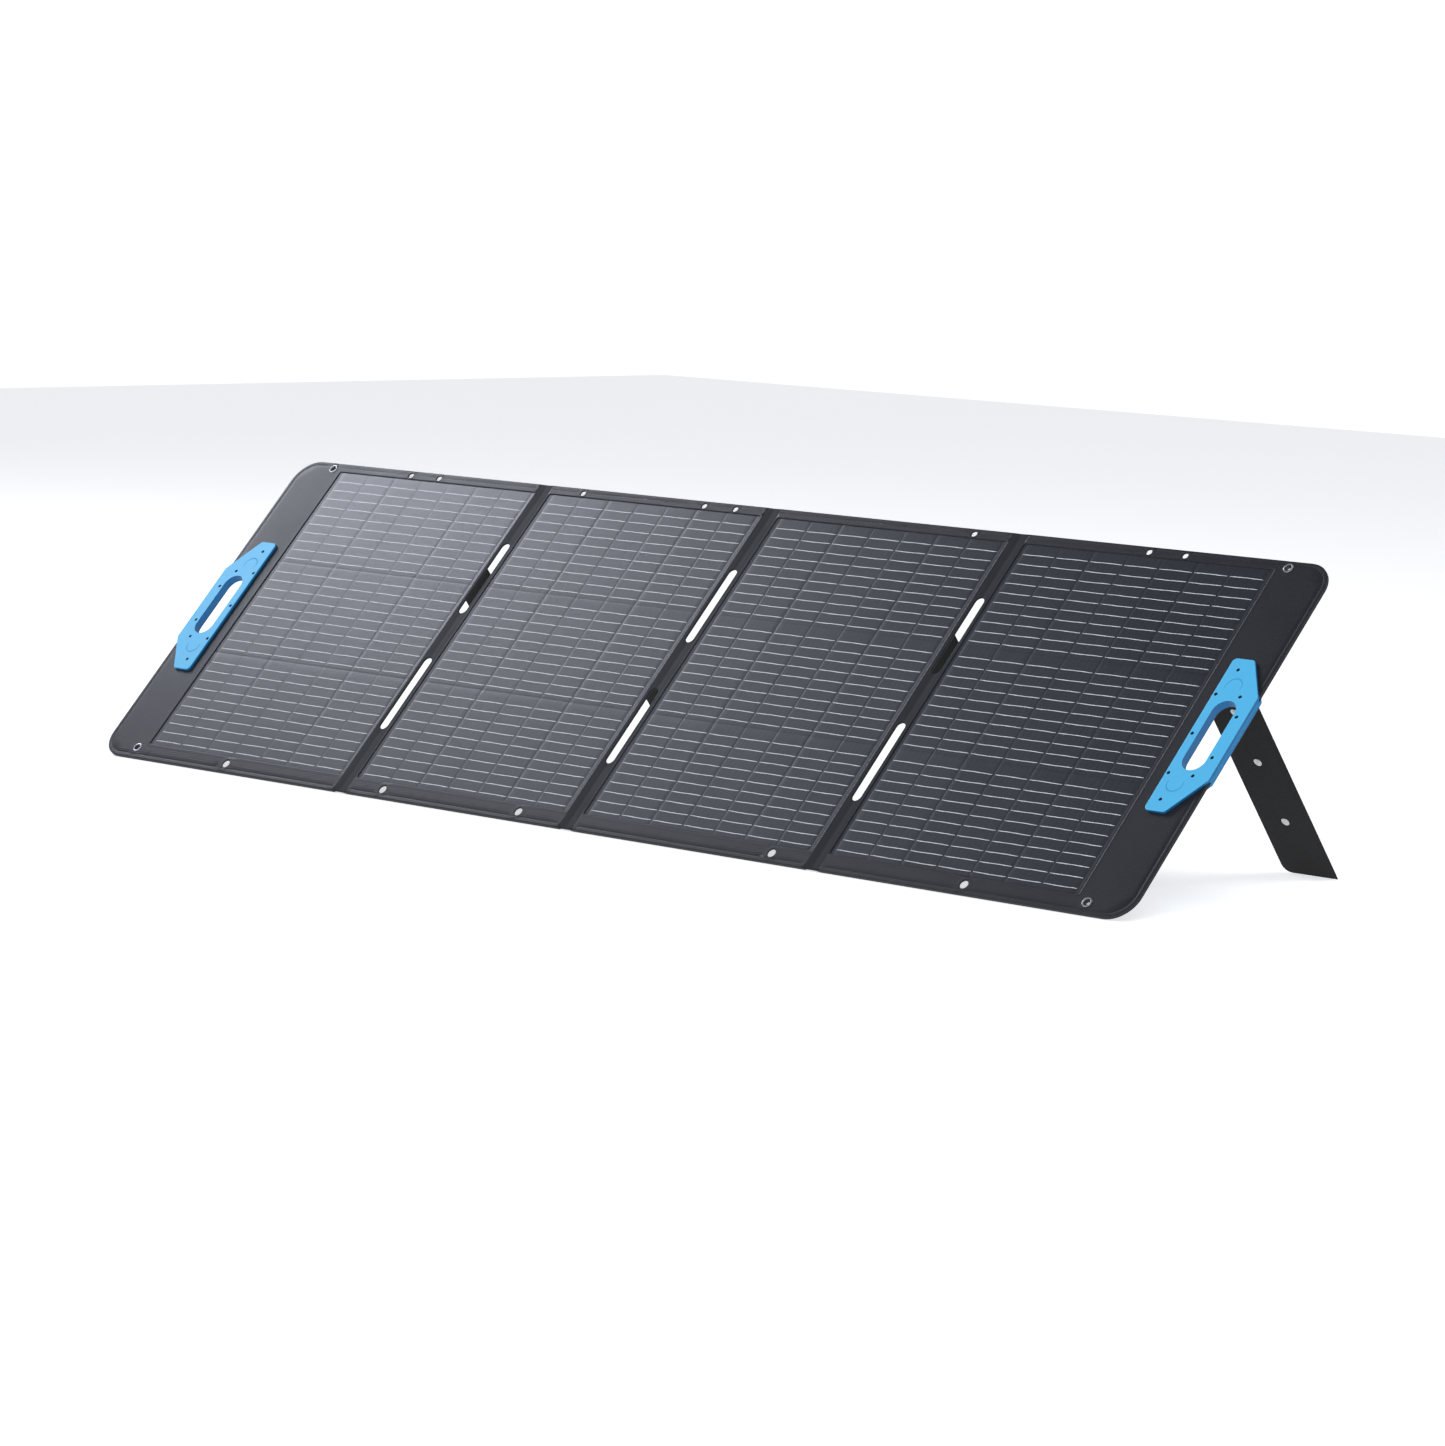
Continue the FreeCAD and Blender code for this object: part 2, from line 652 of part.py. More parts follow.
def build_junction_box():
    """Sealed box on the back of section 1, with its lid, cable gland and bypass diodes."""
    near = "-(dims.section_pitch + dims.box_fold_inset)"
    far = f"({near} - dims.box_wide)"
    high = "(dims.box_low + dims.box_high)"
    mouth = f"-({PANEL} + dims.box_deep)"
    gland_level = f"-({PANEL} + dims.box_deep / 2)"
    gland_across = f"({near} - dims.box_wide / 2)"

    housing = doc.addObject("PartDesign::Body", "junction_box_housing")
    sketch = new_sketch(housing, "outline", mouth)
    draw_rectangle(sketch, far, near, "dims.box_low", high)
    block = pad(housing, sketch, "dims.box_deep")
    deep = size("dims.box_deep")
    round_edges(housing, block, "dims.box_wall", lambda box: box.ZLength > 0.9 * deep)
    sketch = new_sketch(housing, "hollow", mouth)
    draw_rectangle(sketch, f"{far} + dims.box_wall", f"{near} - dims.box_wall",
                   "dims.box_low + dims.box_wall", f"{high} - dims.box_wall")
    pocket(housing, sketch, "dims.box_deep - dims.box_wall", upwards=True)
    sketch = new_sketch(housing, "gland_hole", "-dims.box_low", role="XZ_Plane")
    draw_circles(sketch, [(gland_across, gland_level)], "dims.gland_round")
    pocket(housing, sketch, "dims.box_wall", upwards=False)
    add_sub_part(housing, "junction_box_housing")

    lid = doc.addObject("PartDesign::Body", "junction_box_lid")
    sketch = new_sketch(lid, "outline", f"{mouth} - dims.lid_thick")
    draw_rectangle(sketch, f"{far} - dims.lid_overhang", f"{near} + dims.lid_overhang",
                   "dims.box_low - dims.lid_overhang", f"{high} + dims.lid_overhang")
    cover = pad(lid, sketch, "dims.lid_thick")
    lid_thick = size("dims.lid_thick")
    round_edges(lid, cover, "dims.box_wall", lambda box: box.ZLength > 0.9 * lid_thick)
    add_sub_part(lid, "junction_box_lid")

    gland_place = FreeCAD.Vector(size(gland_across), size("dims.box_low + dims.box_wall"),
                                 size(gland_level))
    length = size("dims.gland_long")
    outside = Part.makeCylinder(size("dims.gland_round"), length, gland_place, -V_AXIS)
    inside = Part.makeCylinder(size("dims.gland_bore"), length, gland_place, -V_AXIS)
    add_solids("cable_gland", [outside.cut(inside)])

    diode_count = 3
    floor = -size(f"{PANEL} + dims.box_wall + dims.diode_round")
    spacing = size("dims.box_high") / (diode_count + 1)
    start = size(f"{far} + dims.box_wide / 2") - size("dims.diode_long") / 2
    diodes = [cylinder(size("dims.diode_round"), size("dims.diode_long"), start,
                       size("dims.box_low") + spacing * (number + 1), floor, X_AXIS)
              for number in range(diode_count)]
    add_solids("bypass_diodes", diodes)


for section_name in SECTIONS:
    build_section(section_name)
    build_leg(section_name)
for end_name, end_side in (("left", -1), ("right", 1)):
    build_handle(end_name, end_side)
    build_eyelets(end_name, end_side)
build_junction_box()
doc.recompute()

# Lean the panel back, then put the origin at the middle of the base of its bounding box.
lean = FreeCAD.Placement(FreeCAD.Vector(), FreeCAD.Rotation(X_AXIS, size("dims.tilt_angle")))
for item, own_place in sub_parts.values():
    item.Placement = lean * own_place
doc.recompute()
bounds = FreeCAD.BoundBox()
for item, own_place in sub_parts.values():
    bounds.add(item.Shape.optimalBoundingBox(False))
shift = FreeCAD.Vector(-bounds.Center.x, -bounds.Center.y, -bounds.ZMin)
stand = FreeCAD.Placement(shift, lean.Rotation)
for item, own_place in sub_parts.values():
    item.Placement = stand * own_place
doc.recompute()

for item in doc.Objects:
    if {"Invalid", "Error"} & set(item.State):
        raise RuntimeError(f"{item.Name} failed: {item.State}")
for label, (item, own_place) in sub_parts.items():
    if item.Shape.isNull() or not item.Shape.isValid():
        raise RuntimeError(f"{label} has no valid shape")

os.makedirs("parts", exist_ok=True)
for label, (item, own_place) in sub_parts.items():
    item.Shape.exportStep(f"parts/{label}.step")
print(len(sub_parts), "sub-parts, bounds", bounds)
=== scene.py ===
import json
import math
import random

import bpy
import numpy as np
from mathutils import Matrix, Vector, geometry


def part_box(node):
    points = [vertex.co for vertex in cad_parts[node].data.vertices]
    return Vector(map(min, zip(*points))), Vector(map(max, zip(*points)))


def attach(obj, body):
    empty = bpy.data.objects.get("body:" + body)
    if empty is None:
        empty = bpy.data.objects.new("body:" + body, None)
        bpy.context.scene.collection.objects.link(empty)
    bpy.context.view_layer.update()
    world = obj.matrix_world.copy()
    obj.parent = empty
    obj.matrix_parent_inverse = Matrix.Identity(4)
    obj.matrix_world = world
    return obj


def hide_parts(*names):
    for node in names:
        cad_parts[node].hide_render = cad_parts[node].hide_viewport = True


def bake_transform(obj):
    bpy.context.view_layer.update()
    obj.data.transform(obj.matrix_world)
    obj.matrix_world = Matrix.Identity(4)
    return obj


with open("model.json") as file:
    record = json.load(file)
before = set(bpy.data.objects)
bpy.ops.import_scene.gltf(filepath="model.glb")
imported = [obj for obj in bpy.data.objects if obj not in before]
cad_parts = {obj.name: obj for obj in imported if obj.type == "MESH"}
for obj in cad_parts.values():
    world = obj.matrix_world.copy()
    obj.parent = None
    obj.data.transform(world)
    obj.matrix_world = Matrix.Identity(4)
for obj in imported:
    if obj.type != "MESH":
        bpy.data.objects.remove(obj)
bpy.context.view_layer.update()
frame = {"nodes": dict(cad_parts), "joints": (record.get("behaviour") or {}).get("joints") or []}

# Folding four-section solar panel on four fold-out legs.
# Shapes are given in panel coordinates, in millimetres: x along the row of sections with 0 on
# the middle fold, v up the slope from the bottom edge, n out of the front face.

random.seed(7)

# ---------------------------------------------------------------- sizes, in millimetres
RISE = 605
PITCH = 479
END = 1035
CORNER = 42
PANEL_THICK = 5.6
FRONT_SKIN = 1.0
BACK_INNER = -4.6
SEAM_FRONT = -2.72
SEAM_BACK = -2.88
BAND_HALF = 14
CELL_HALF = 239.5
END_CELL = 715.5
WINDOW_HALF = 222.15
WINDOW_LOW = 29.4
WINDOW_HIGH = 588.0
WINDOW_CORNER = 2.5
ROW_LOW = 31
ROW_PITCH = 186.7
ROW_COUNT = 3
CELL_HIGH = 182
CELL_WIDE = 60.67
COLUMN_PITCH = 61.6
COLUMN_COUNT = 7
RIBBON_LOW = 6.9
RIBBON_PITCH = 17.57
RIBBON_COUNT = 10
RIBBON_WIDE = 1.35
RIBBON_GAP = 1.7
SLOT_WIDE = 15
SLOT_HIGH = 138
SLOT_CENTRES = (190, 417)
TOP_HOLE = (595.5, 4.5)
BOTTOM_HOLE = (15.5, 6.5)
EYELET_X = 958.5
EYELET_V = (593, 19)
EYELET_BORE = 4.25
EYELET_BARREL = 5.0
EYELET_FLANGE = 8.0
HANDLE_OUTER = 1037
HANDLE_WIDE = 75
FINGER_X = 996
FINGER_WIDE = 42
FINGER_HIGH = 122
HANDLE_FRONT = 4.0
GRIP_STRAIGHT = 141
SCREWS = ((18, 110.7), (18, -110.7), (5.7, 67.4), (5.7, -67.4), (46.6, 67.4), (46.6, -67.4),
          (59.7, 34.7), (59.7, -34.7), (5.7, 0))
SCREW_HEAD = 2.55
EMBOSS_X = 26
EMBOSS_V = 83
EMBOSS_ROUND = 13
LEG_V = 448
LEG_N = -9.0
LEG_OPEN = 80.6
LEG_LONG = 408.93
LEG_HALF = 46
LEG_THICK = 3.4
LEG_TOP = 5
LEG_CORNER = 14
LEG_HEM = 4.5
WEB_HALF = 0.45
LEG_SNAPS = (101, 210, 300)
PATCH_LOW = 451
PATCH_HIGH = 493
HOLES_X = {1: [(-747, True)], 2: [(-395, False), (-106.5, True)], 3: [(395, False)],
           4: [(747, True)]}
HOLE_PAIR = 32

LEG_X = {}
for number in (1, 2, 3, 4):
    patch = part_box(f"leg_{number}_hinge_patch")
    LEG_X[number] = (patch[0].x + patch[1].x) * 500

# ---------------------------------------------------------------- the panel's own frame
joints = {joint["name"]: joint for joint in frame["joints"]}
UP_SLOPE = Vector(joints["fold_2"]["axis"]).normalized()
if UP_SLOPE.z < 0:
    UP_SLOPE = -UP_SLOPE
OUTWARD = Vector((1, 0, 0)).cross(UP_SLOPE)
FOLD_POINT = Vector(joints["fold_2"]["pos_m"])
FOLD_BACK = 9.6


def panel_matrix():
    """Places panel coordinates, in metres, in the row frame."""
    fold_v = RISE / 2000
    origin = FOLD_POINT - UP_SLOPE * fold_v + OUTWARD * FOLD_BACK / 1000
    matrix = Matrix.Identity(4)
    for column, axis in enumerate((Vector((1, 0, 0)), UP_SLOPE, OUTWARD)):
        for row in range(3):
            matrix[row][column] = axis[row]
    matrix.translation = origin
    return matrix


PANEL = panel_matrix()


def at(x, v, n=0.0):
    """A point of panel coordinates, in the row frame."""
    return PANEL @ Vector((x / 1000, v / 1000, n / 1000))


def leg_matrix(number):
    """Places a leg's own coordinates: origin on its hinge, y up the closed leg."""
    turn = Matrix.Rotation(math.radians(LEG_OPEN), 4, "X")
    hinge = Matrix.Translation(Vector((LEG_X[number], LEG_V, LEG_N)) / 1000)
    return PANEL @ hinge @ turn


# ---------------------------------------------------------------- materials
class Nodes:
    """Short way to build one material's node tree."""

    def __init__(self, name):
        self.material = bpy.data.materials.new(name)
        self.material.use_nodes = True
        self.tree = self.material.node_tree
        self.shader = self.tree.nodes["Principled BSDF"]
        self.place = self.add("ShaderNodeTexCoord").outputs["Object"]

    def add(self, kind, **values):
        node = self.tree.nodes.new(kind)
        for key, value in values.items():
            setattr(node, key, value)
        return node

    def link(self, source, target):
        self.tree.links.new(source, target)

    def fill(self, socket, value):
        if isinstance(value, bpy.types.NodeSocket):
            self.link(value, socket)
        else:
            socket.default_value = value

    def mapped(self, turn=(0, 0, 0), scale=(1, 1, 1)):
        node = self.add("ShaderNodeMapping")
        node.inputs["Rotation"].default_value = [math.radians(angle) for angle in turn]
        node.inputs["Scale"].default_value = scale
        self.link(self.place, node.inputs["Vector"])
        return node.outputs["Vector"]

    def noise(self, scale, detail=4.0, rough=0.55, place=None):
        node = self.add("ShaderNodeTexNoise")
        node.inputs["Scale"].default_value = scale
        node.inputs["Detail"].default_value = detail
        node.inputs["Roughness"].default_value = rough
        self.link(place or self.place, node.inputs["Vector"])
        return node.outputs["Fac"]

    def wave(self, scale, direction, place=None, distortion=0.0):
        node = self.add("ShaderNodeTexWave", bands_direction=direction, wave_profile="SIN")
        node.inputs["Scale"].default_value = scale
        node.inputs["Distortion"].default_value = distortion
        self.link(place or self.place, node.inputs["Vector"])
        return node.outputs["Fac"]

    def cells(self, scale, place=None, feature="F1"):
        node = self.add("ShaderNodeTexVoronoi", feature=feature)
        node.inputs["Scale"].default_value = scale
        self.link(place or self.place, node.inputs["Vector"])
        return node.outputs["Distance"]

    def ramp(self, value, stops):
        node = self.add("ShaderNodeValToRGB")
        ramp = node.color_ramp
        while len(ramp.elements) < len(stops):
            ramp.elements.new(0.5)
        for element, (place, colour) in zip(ramp.elements, stops):
            element.position = place
            element.color = (*colour, 1)
        self.link(value, node.inputs["Fac"])
        return node.outputs["Color"]

    def math(self, operation, first, second=0.0):
        node = self.add("ShaderNodeMath", operation=operation)
        self.fill(node.inputs[0], first)
        self.fill(node.inputs[1], second)
        return node.outputs["Value"]

    def range(self, value, low, high):
        node = self.add("ShaderNodeMapRange")
        node.inputs["To Min"].default_value = low
        node.inputs["To Max"].default_value = high
        self.link(value, node.inputs["Value"])
        return node.outputs["Result"]

    def bump(self, height, distance, strength):
        node = self.add("ShaderNodeBump")
        node.inputs["Distance"].default_value = distance
        node.inputs["Strength"].default_value = strength
        self.link(height, node.inputs["Height"])
        return node.outputs["Normal"]

    def finish(self, colour, roughness, normal=None, **uniform):
        self.fill(self.shader.inputs["Base Color"], colour)
        self.fill(self.shader.inputs["Roughness"], roughness)
        if normal is not None:
            self.link(normal, self.shader.inputs["Normal"])
        for name, value in uniform.items():
            self.shader.inputs[name.replace("_", " ")].default_value = value
        return self.material


def shade(colour, factor):
    """Colour, brighter or darker by a factor."""
    return tuple(min(1.0, part * factor) for part in colour)


def fabric(name, colour, thread=0.55, turn=(0, 0, 0), roughness=(0.55, 0.75), specular=0.3,
           relief=0.00012):
    """Coated woven fabric: thread relief both ways, soft mottling and handled patches."""
    nodes = Nodes(name)
    place = nodes.mapped(turn)
    scale = 50 / thread
    warp = nodes.wave(scale, "X", place, 0.15)
    weft = nodes.wave(scale, "Y", place, 0.15)
    weave = nodes.math("MULTIPLY", warp, weft)
    blotch = nodes.noise(9, 6, 0.6, place)
    grain = nodes.noise(900, 3, 0.6, place)
    mixed = nodes.math("ADD", nodes.math("MULTIPLY", weave, 0.35),
                       nodes.math("ADD", nodes.math("MULTIPLY", blotch, 0.5),
                                  nodes.math("MULTIPLY", grain, 0.3)))
    shades = nodes.ramp(mixed, [(0.2, shade(colour, 0.72)), (0.55, colour),
                                (0.95, shade(colour, 1.35))])
    height = nodes.math("ADD", weave, nodes.math("MULTIPLY", grain, 0.6))
    normal = nodes.bump(height, relief, 0.8)
    rough = nodes.range(blotch, *roughness)
    return nodes.finish(shades, rough, normal, Specular_IOR_Level=specular)


def moulded(name, colour, roughness=(0.32, 0.46), grain_size=1500, relief=0.00006,
            specular=0.5):
    """Moulded plastic: fine spark-eroded grain, faint flow mottling and rubbed patches."""
    nodes = Nodes(name)
    grain = nodes.noise(grain_size, 2, 0.5)
    flow = nodes.noise(22, 5, 0.55)
    shades = nodes.ramp(flow, [(0.3, shade(colour, 0.93)), (0.7, shade(colour, 1.05))])
    rough = nodes.range(nodes.math("ADD", nodes.math("MULTIPLY", flow, 0.6),
                                   nodes.math("MULTIPLY", grain, 0.4)), *roughness)
    normal = nodes.bump(grain, relief, 0.5)
    return nodes.finish(shades, rough, normal, Specular_IOR_Level=specular)


def moulded_handle(name, colour, shaded_wall_colour):
    """Blue handle plastic with painted shade: faces that meet the outward direction are the
    light blue, and the walls, turned away from it, are painted a deep blue for their shade.
    """
    nodes = Nodes(name)
    outward = nodes.add("ShaderNodeVectorMath", operation="DOT_PRODUCT")
    nodes.link(nodes.place.node.outputs["Normal"], outward.inputs[0])
    outward.inputs[1].default_value = OUTWARD
    # Painted shade: the colour darkens as the surface turns away from the outward direction, so
    # the walls carry a painted shade.
    facing = nodes.math("ABSOLUTE", outward.outputs["Value"])
    grain = nodes.noise(1500, 2, 0.5)
    flow = nodes.noise(22, 5, 0.55)
    shift = nodes.math("ADD", facing, nodes.math("MULTIPLY", flow, 0.06))
    shades = nodes.ramp(shift, [(0.35, shaded_wall_colour), (0.8, shade(colour, 0.86)),
                                (1.0, colour)])
    rough = nodes.range(nodes.math("ADD", nodes.math("MULTIPLY", flow, 0.6),
                                   nodes.math("MULTIPLY", grain, 0.4)), 0.34, 0.5)
    return nodes.finish(shades, rough, nodes.bump(grain, 0.00006, 0.5), Specular_IOR_Level=0.3)


def metal(name, colour, roughness=(0.18, 0.38), metallic=1.0):
    """Plated metal: brushed micro scratches and dull patches."""
    nodes = Nodes(name)
    scratch = nodes.noise(700, 4, 0.7, nodes.mapped((0, 0, 25), (1, 8, 1)))
    patch = nodes.noise(160, 4, 0.6)
    shades = nodes.ramp(patch, [(0.25, shade(colour, 0.78)), (0.75, shade(colour, 1.08))])
    rough = nodes.range(nodes.math("ADD", nodes.math("MULTIPLY", scratch, 0.5),
                                   nodes.math("MULTIPLY", patch, 0.5)), *roughness)
    return nodes.finish(shades, rough, nodes.bump(scratch, 0.00003, 0.4), Metallic=metallic)


def laminate_material(name, middle):
    """Dark cells under a matt pebbled film, for the sections whose cells centre on middle.

    Each wafer has its own faint shade, a dark line round it and fine grid lines.
    """
    nodes = Nodes(name)
    split = nodes.add("ShaderNodeSeparateXYZ")
    nodes.link(nodes.place, split.inputs["Vector"])

    def counted(value, start, pitch):
        """Cell number and distance from the nearest cell boundary, as shares of the pitch."""
        share = nodes.math("MULTIPLY_ADD", value, 1000 / pitch)
        share.node.inputs[2].default_value = -start / pitch
        part = nodes.math("FRACT", share)
        gap = nodes.math("MINIMUM", part, nodes.math("SUBTRACT", 1.0, part))
        return nodes.math("FLOOR", share), gap

    start = middle - COLUMN_COUNT * COLUMN_PITCH / 2
    across = nodes.math("ABSOLUTE", split.outputs["X"])
    column, side_gap = counted(across, start, COLUMN_PITCH)
    row, end_gap = counted(split.outputs["Y"], ROW_LOW - (ROW_PITCH - CELL_HIGH) / 2, ROW_PITCH)
    random_shade = nodes.add("ShaderNodeTexWhiteNoise", noise_dimensions="2D")
    joined = nodes.add("ShaderNodeCombineXYZ")
    nodes.link(column, joined.inputs["X"])
    nodes.link(row, joined.inputs["Y"])
    nodes.link(joined.outputs["Vector"], random_shade.inputs["Vector"])
    side_line = nodes.math("LESS_THAN", side_gap, 0.7 / COLUMN_PITCH)
    end_line = nodes.math("LESS_THAN", end_gap, 2.2 / ROW_PITCH)
    line = nodes.math("MAXIMUM", nodes.math("MULTIPLY", side_line, 0.22),
                      nodes.math("MULTIPLY", end_line, 0.10))
    pebble = nodes.cells(1150, feature="SMOOTH_F1")
    fingers = nodes.wave(1000 / 1.6 / 20, "X", None, 0.3)
    patch = nodes.noise(5, 3, 0.5)
    fine = nodes.noise(420, 3, 0.6)
    mixed = nodes.math("MULTIPLY", patch, 0.3)
    for value, share in ((fingers, 0.10), (fine, 0.25), (random_shade.outputs["Value"], 0.14)):
        mixed = nodes.math("ADD", mixed, nodes.math("MULTIPLY", value, share))
    mixed = nodes.math("SUBTRACT", nodes.math("ADD", mixed, 0.08), line)
    colour = (0.020, 0.022, 0.031)
    shades = nodes.ramp(mixed, [(0.12, shade(colour, 0.35)), (0.5, colour),
                                (0.85, (0.032, 0.036, 0.050))])
    rough = nodes.range(fine, 0.27, 0.38)
    normal = nodes.bump(pebble, 0.00012, 0.4)
    return nodes.finish(shades, rough, normal, Specular_IOR_Level=0.5)


def board_material(name, colour, bands=60):
    """Pressed board with long pale and dark strands."""
    nodes = Nodes(name)
    strands = nodes.noise(bands, 8, 0.7, nodes.mapped((0, 0, 0), (1, 9, 1)))
    shades = nodes.ramp(strands, [(0.3, shade(colour, 0.7)), (0.7, shade(colour, 1.3))])
    rough = nodes.range(strands, 0.6, 0.85)
    return nodes.finish(shades, rough, nodes.bump(strands, 0.0001, 0.5))


TILT = math.degrees(math.atan2(UP_SLOPE.z, UP_SLOPE.y))
ROW_TURN = (-TILT, 0, 0)
DARK = (0.013, 0.0145, 0.019)
MATERIALS = {
    "front": fabric("coated_front_fabric", DARK, 0.6, roughness=(0.36, 0.5), specular=0.36),
    "fold": fabric("coated_fold_fabric", shade(DARK, 0.82), 0.6, ROW_TURN, (0.52, 0.68), 0.28),
    "back": fabric("woven_back_fabric", shade(DARK, 0.8), 0.9, roughness=(0.62, 0.82),
                   relief=0.0002),
    "leg": fabric("woven_leg_fabric", (0.015, 0.015, 0.0155), 0.8, roughness=(0.66, 0.85),
                  specular=0.2, relief=0.0002),
    "web": fabric("woven_hinge_fabric", (0.010, 0.010, 0.011), 0.7, ROW_TURN, (0.66, 0.85),
                  0.2, 0.0002),
    "thread": fabric("dark_thread", (0.018, 0.019, 0.021), 0.3, roughness=(0.5, 0.7)),
    "leg_thread": fabric("leg_thread", (0.022, 0.022, 0.024), 0.3, roughness=(0.5, 0.7)),
    "laminate": laminate_material("pebbled_laminate", CELL_HALF),
    "end_laminate": laminate_material("pebbled_end_laminate", END_CELL),
    "ribbon": metal("tinned_ribbon", (0.86, 0.88, 0.90), (0.35, 0.5), 0.0),
    # Both handle plates: light blue faces, with painted shade on their walls.
    "blue": moulded_handle("blue_moulded_plastic", (0.10, 0.57, 0.97), (0.005, 0.13, 0.33)),
    # A deep copy of the handle blue: painted shade for the grip wall.
    "wall_shade_blue": moulded("blue_plastic_painted_wall_shade", (0.012, 0.19, 0.42), specular=0.3),
    # Darker blue of the embossed rings: painted shade of a groove.
    "ring_shade_blue": moulded("embossed_ring_painted_shade", (0.05, 0.40, 0.80), specular=0.3),
    "blue_back": moulded_handle("blue_back_plate_plastic", (0.08, 0.48, 0.90),
                                (0.005, 0.12, 0.30)),
    "screw": metal("blackened_screw_steel", (0.06, 0.06, 0.065), (0.3, 0.5)),
    "eyelet": metal("nickel_eyelet", (0.50, 0.51, 0.53), (0.25, 0.45)),
    "snap": metal("nickel_snap", (0.60, 0.60, 0.62), (0.25, 0.45)),
    "box": moulded("black_box_plastic", (0.018, 0.018, 0.019), (0.42, 0.6), 900, 0.0001),
    "lid": moulded("black_lid_plastic", (0.022, 0.022, 0.023), (0.4, 0.55), 700, 0.00012),
    "gland": moulded("black_gland_plastic", (0.015, 0.015, 0.016), (0.3, 0.45), 1200),
    "board": board_material("stiffening_board", (0.23, 0.17, 0.11)),
    "core": board_material("leg_core_board", (0.20, 0.15, 0.10), 90),
    "backsheet": moulded("white_backsheet", (0.72, 0.73, 0.74), (0.4, 0.5)),
    "cell": metal("blue_black_wafer", (0.02, 0.024, 0.045), (0.2, 0.35), 0.3),
    "magnet": metal("nickel_magnet", (0.6, 0.6, 0.62)),
    "diode": moulded("diode_resin", (0.02, 0.02, 0.02), (0.3, 0.45)),
}


# ---------------------------------------------------------------- mesh helpers
def new_piece(name, points, faces, material, body, matrix=PANEL, angle=38):
    """A piece from points in millimetres of its own coordinates."""
    mesh = bpy.data.meshes.new(name)
    mesh.from_pydata([Vector(point) / 1000 for point in points], [], faces)
    mesh.validate()
    mesh.polygons.foreach_set("use_smooth", [True] * len(mesh.polygons))
    mesh.set_sharp_from_angle(angle=math.radians(angle))
    mesh.materials.append(MATERIALS[material])
    mesh.update()
    piece = bpy.data.objects.new(name, mesh)
    bpy.context.scene.collection.objects.link(piece)
    piece.matrix_world = matrix
    if body:
        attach(piece, body)
    return piece


def arc(x, v, radius, start, stop, count):
    steps = [math.radians(start + (stop - start) * step / count) for step in range(count + 1)]
    return [(x + radius * math.cos(turn), v + radius * math.sin(turn)) for turn in steps]


def circle(x, v, radius, count=20):
    """Closed loop round a point."""
    return arc(x, v, radius, 0, 360, count)[:-1]


def stadium(x, v, wide, high, count=10):
    radius = wide / 2
    reach = high / 2 - radius
    return (arc(x, v + reach, radius, 0, 180, count)
            + arc(x, v - reach, radius, 180, 360, count))


def dense(loop, spacing):
    """Loop with extra points on its long edges."""
    points = []
    for index, first in enumerate(loop):
        second = loop[(index + 1) % len(loop)]
        steps = max(1, int(math.dist(first, second) / spacing))
        points += [(first[0] + (second[0] - first[0]) * step / steps,
                    first[1] + (second[1] - first[1]) * step / steps) for step in range(steps)]
    return points


def segments(loops):
    pairs = [(loop[index], loop[(index + 1) % len(loop)])
             for loop in loops for index in range(len(loop))]
    return np.array(pairs, float).reshape(-1, 2, 2)


def distances(points, pairs):
    """Distance of each point from the nearest of the segments."""
    points = np.asarray(points, float)
    if not len(pairs):
        return np.full(len(points), 1e3)
    start = pairs[:, 0]
    along = pairs[:, 1] - start
    length = np.maximum((along ** 2).sum(1), 1e-12)
    best = np.full(len(points), 1e9)
    for index in range(len(pairs)):
        offset = points - start[index]
        share = np.clip(offset @ along[index] / length[index], 0, 1)
        gap = offset - share[:, None] * along[index]
        best = np.minimum(best, np.hypot(gap[:, 0], gap[:, 1]))
    return best


def inside(points, loop):
    """Which points lie inside a loop."""
    points = np.asarray(points, float)
    result = np.zeros(len(points), bool)
    for index, (ax, ay) in enumerate(loop):
        bx, by = loop[(index + 1) % len(loop)]
        if ay == by:
            continue
        crosses = (points[:, 1] > min(ay, by)) & (points[:, 1] <= max(ay, by))
        place = ax + (points[:, 1] - ay) * (bx - ax) / (by - ay)
        result ^= crosses & (points[:, 0] < place)
    return result


def offset_ring(loop, distance):
    """Points at a distance from a loop, on both of its sides."""
    ring = []
    count = len(loop)
    for index in range(count):
        before = Vector(loop[index]) - Vector(loop[index - 1])
        after = Vector(loop[(index + 1) % count]) - Vector(loop[index])
        tangent = (before.normalized() + after.normalized())
        if tangent.length < 1e-6:
            continue
        tangent.normalize()
        normal = Vector((-tangent.y, tangent.x))
        reach = distance / max(0.5, normal.dot(Vector((-after.y, after.x)).normalized()))
        for sign in (-1, 1):
            ring.append(tuple(Vector(loop[index]) + normal * reach * sign))
    return ring


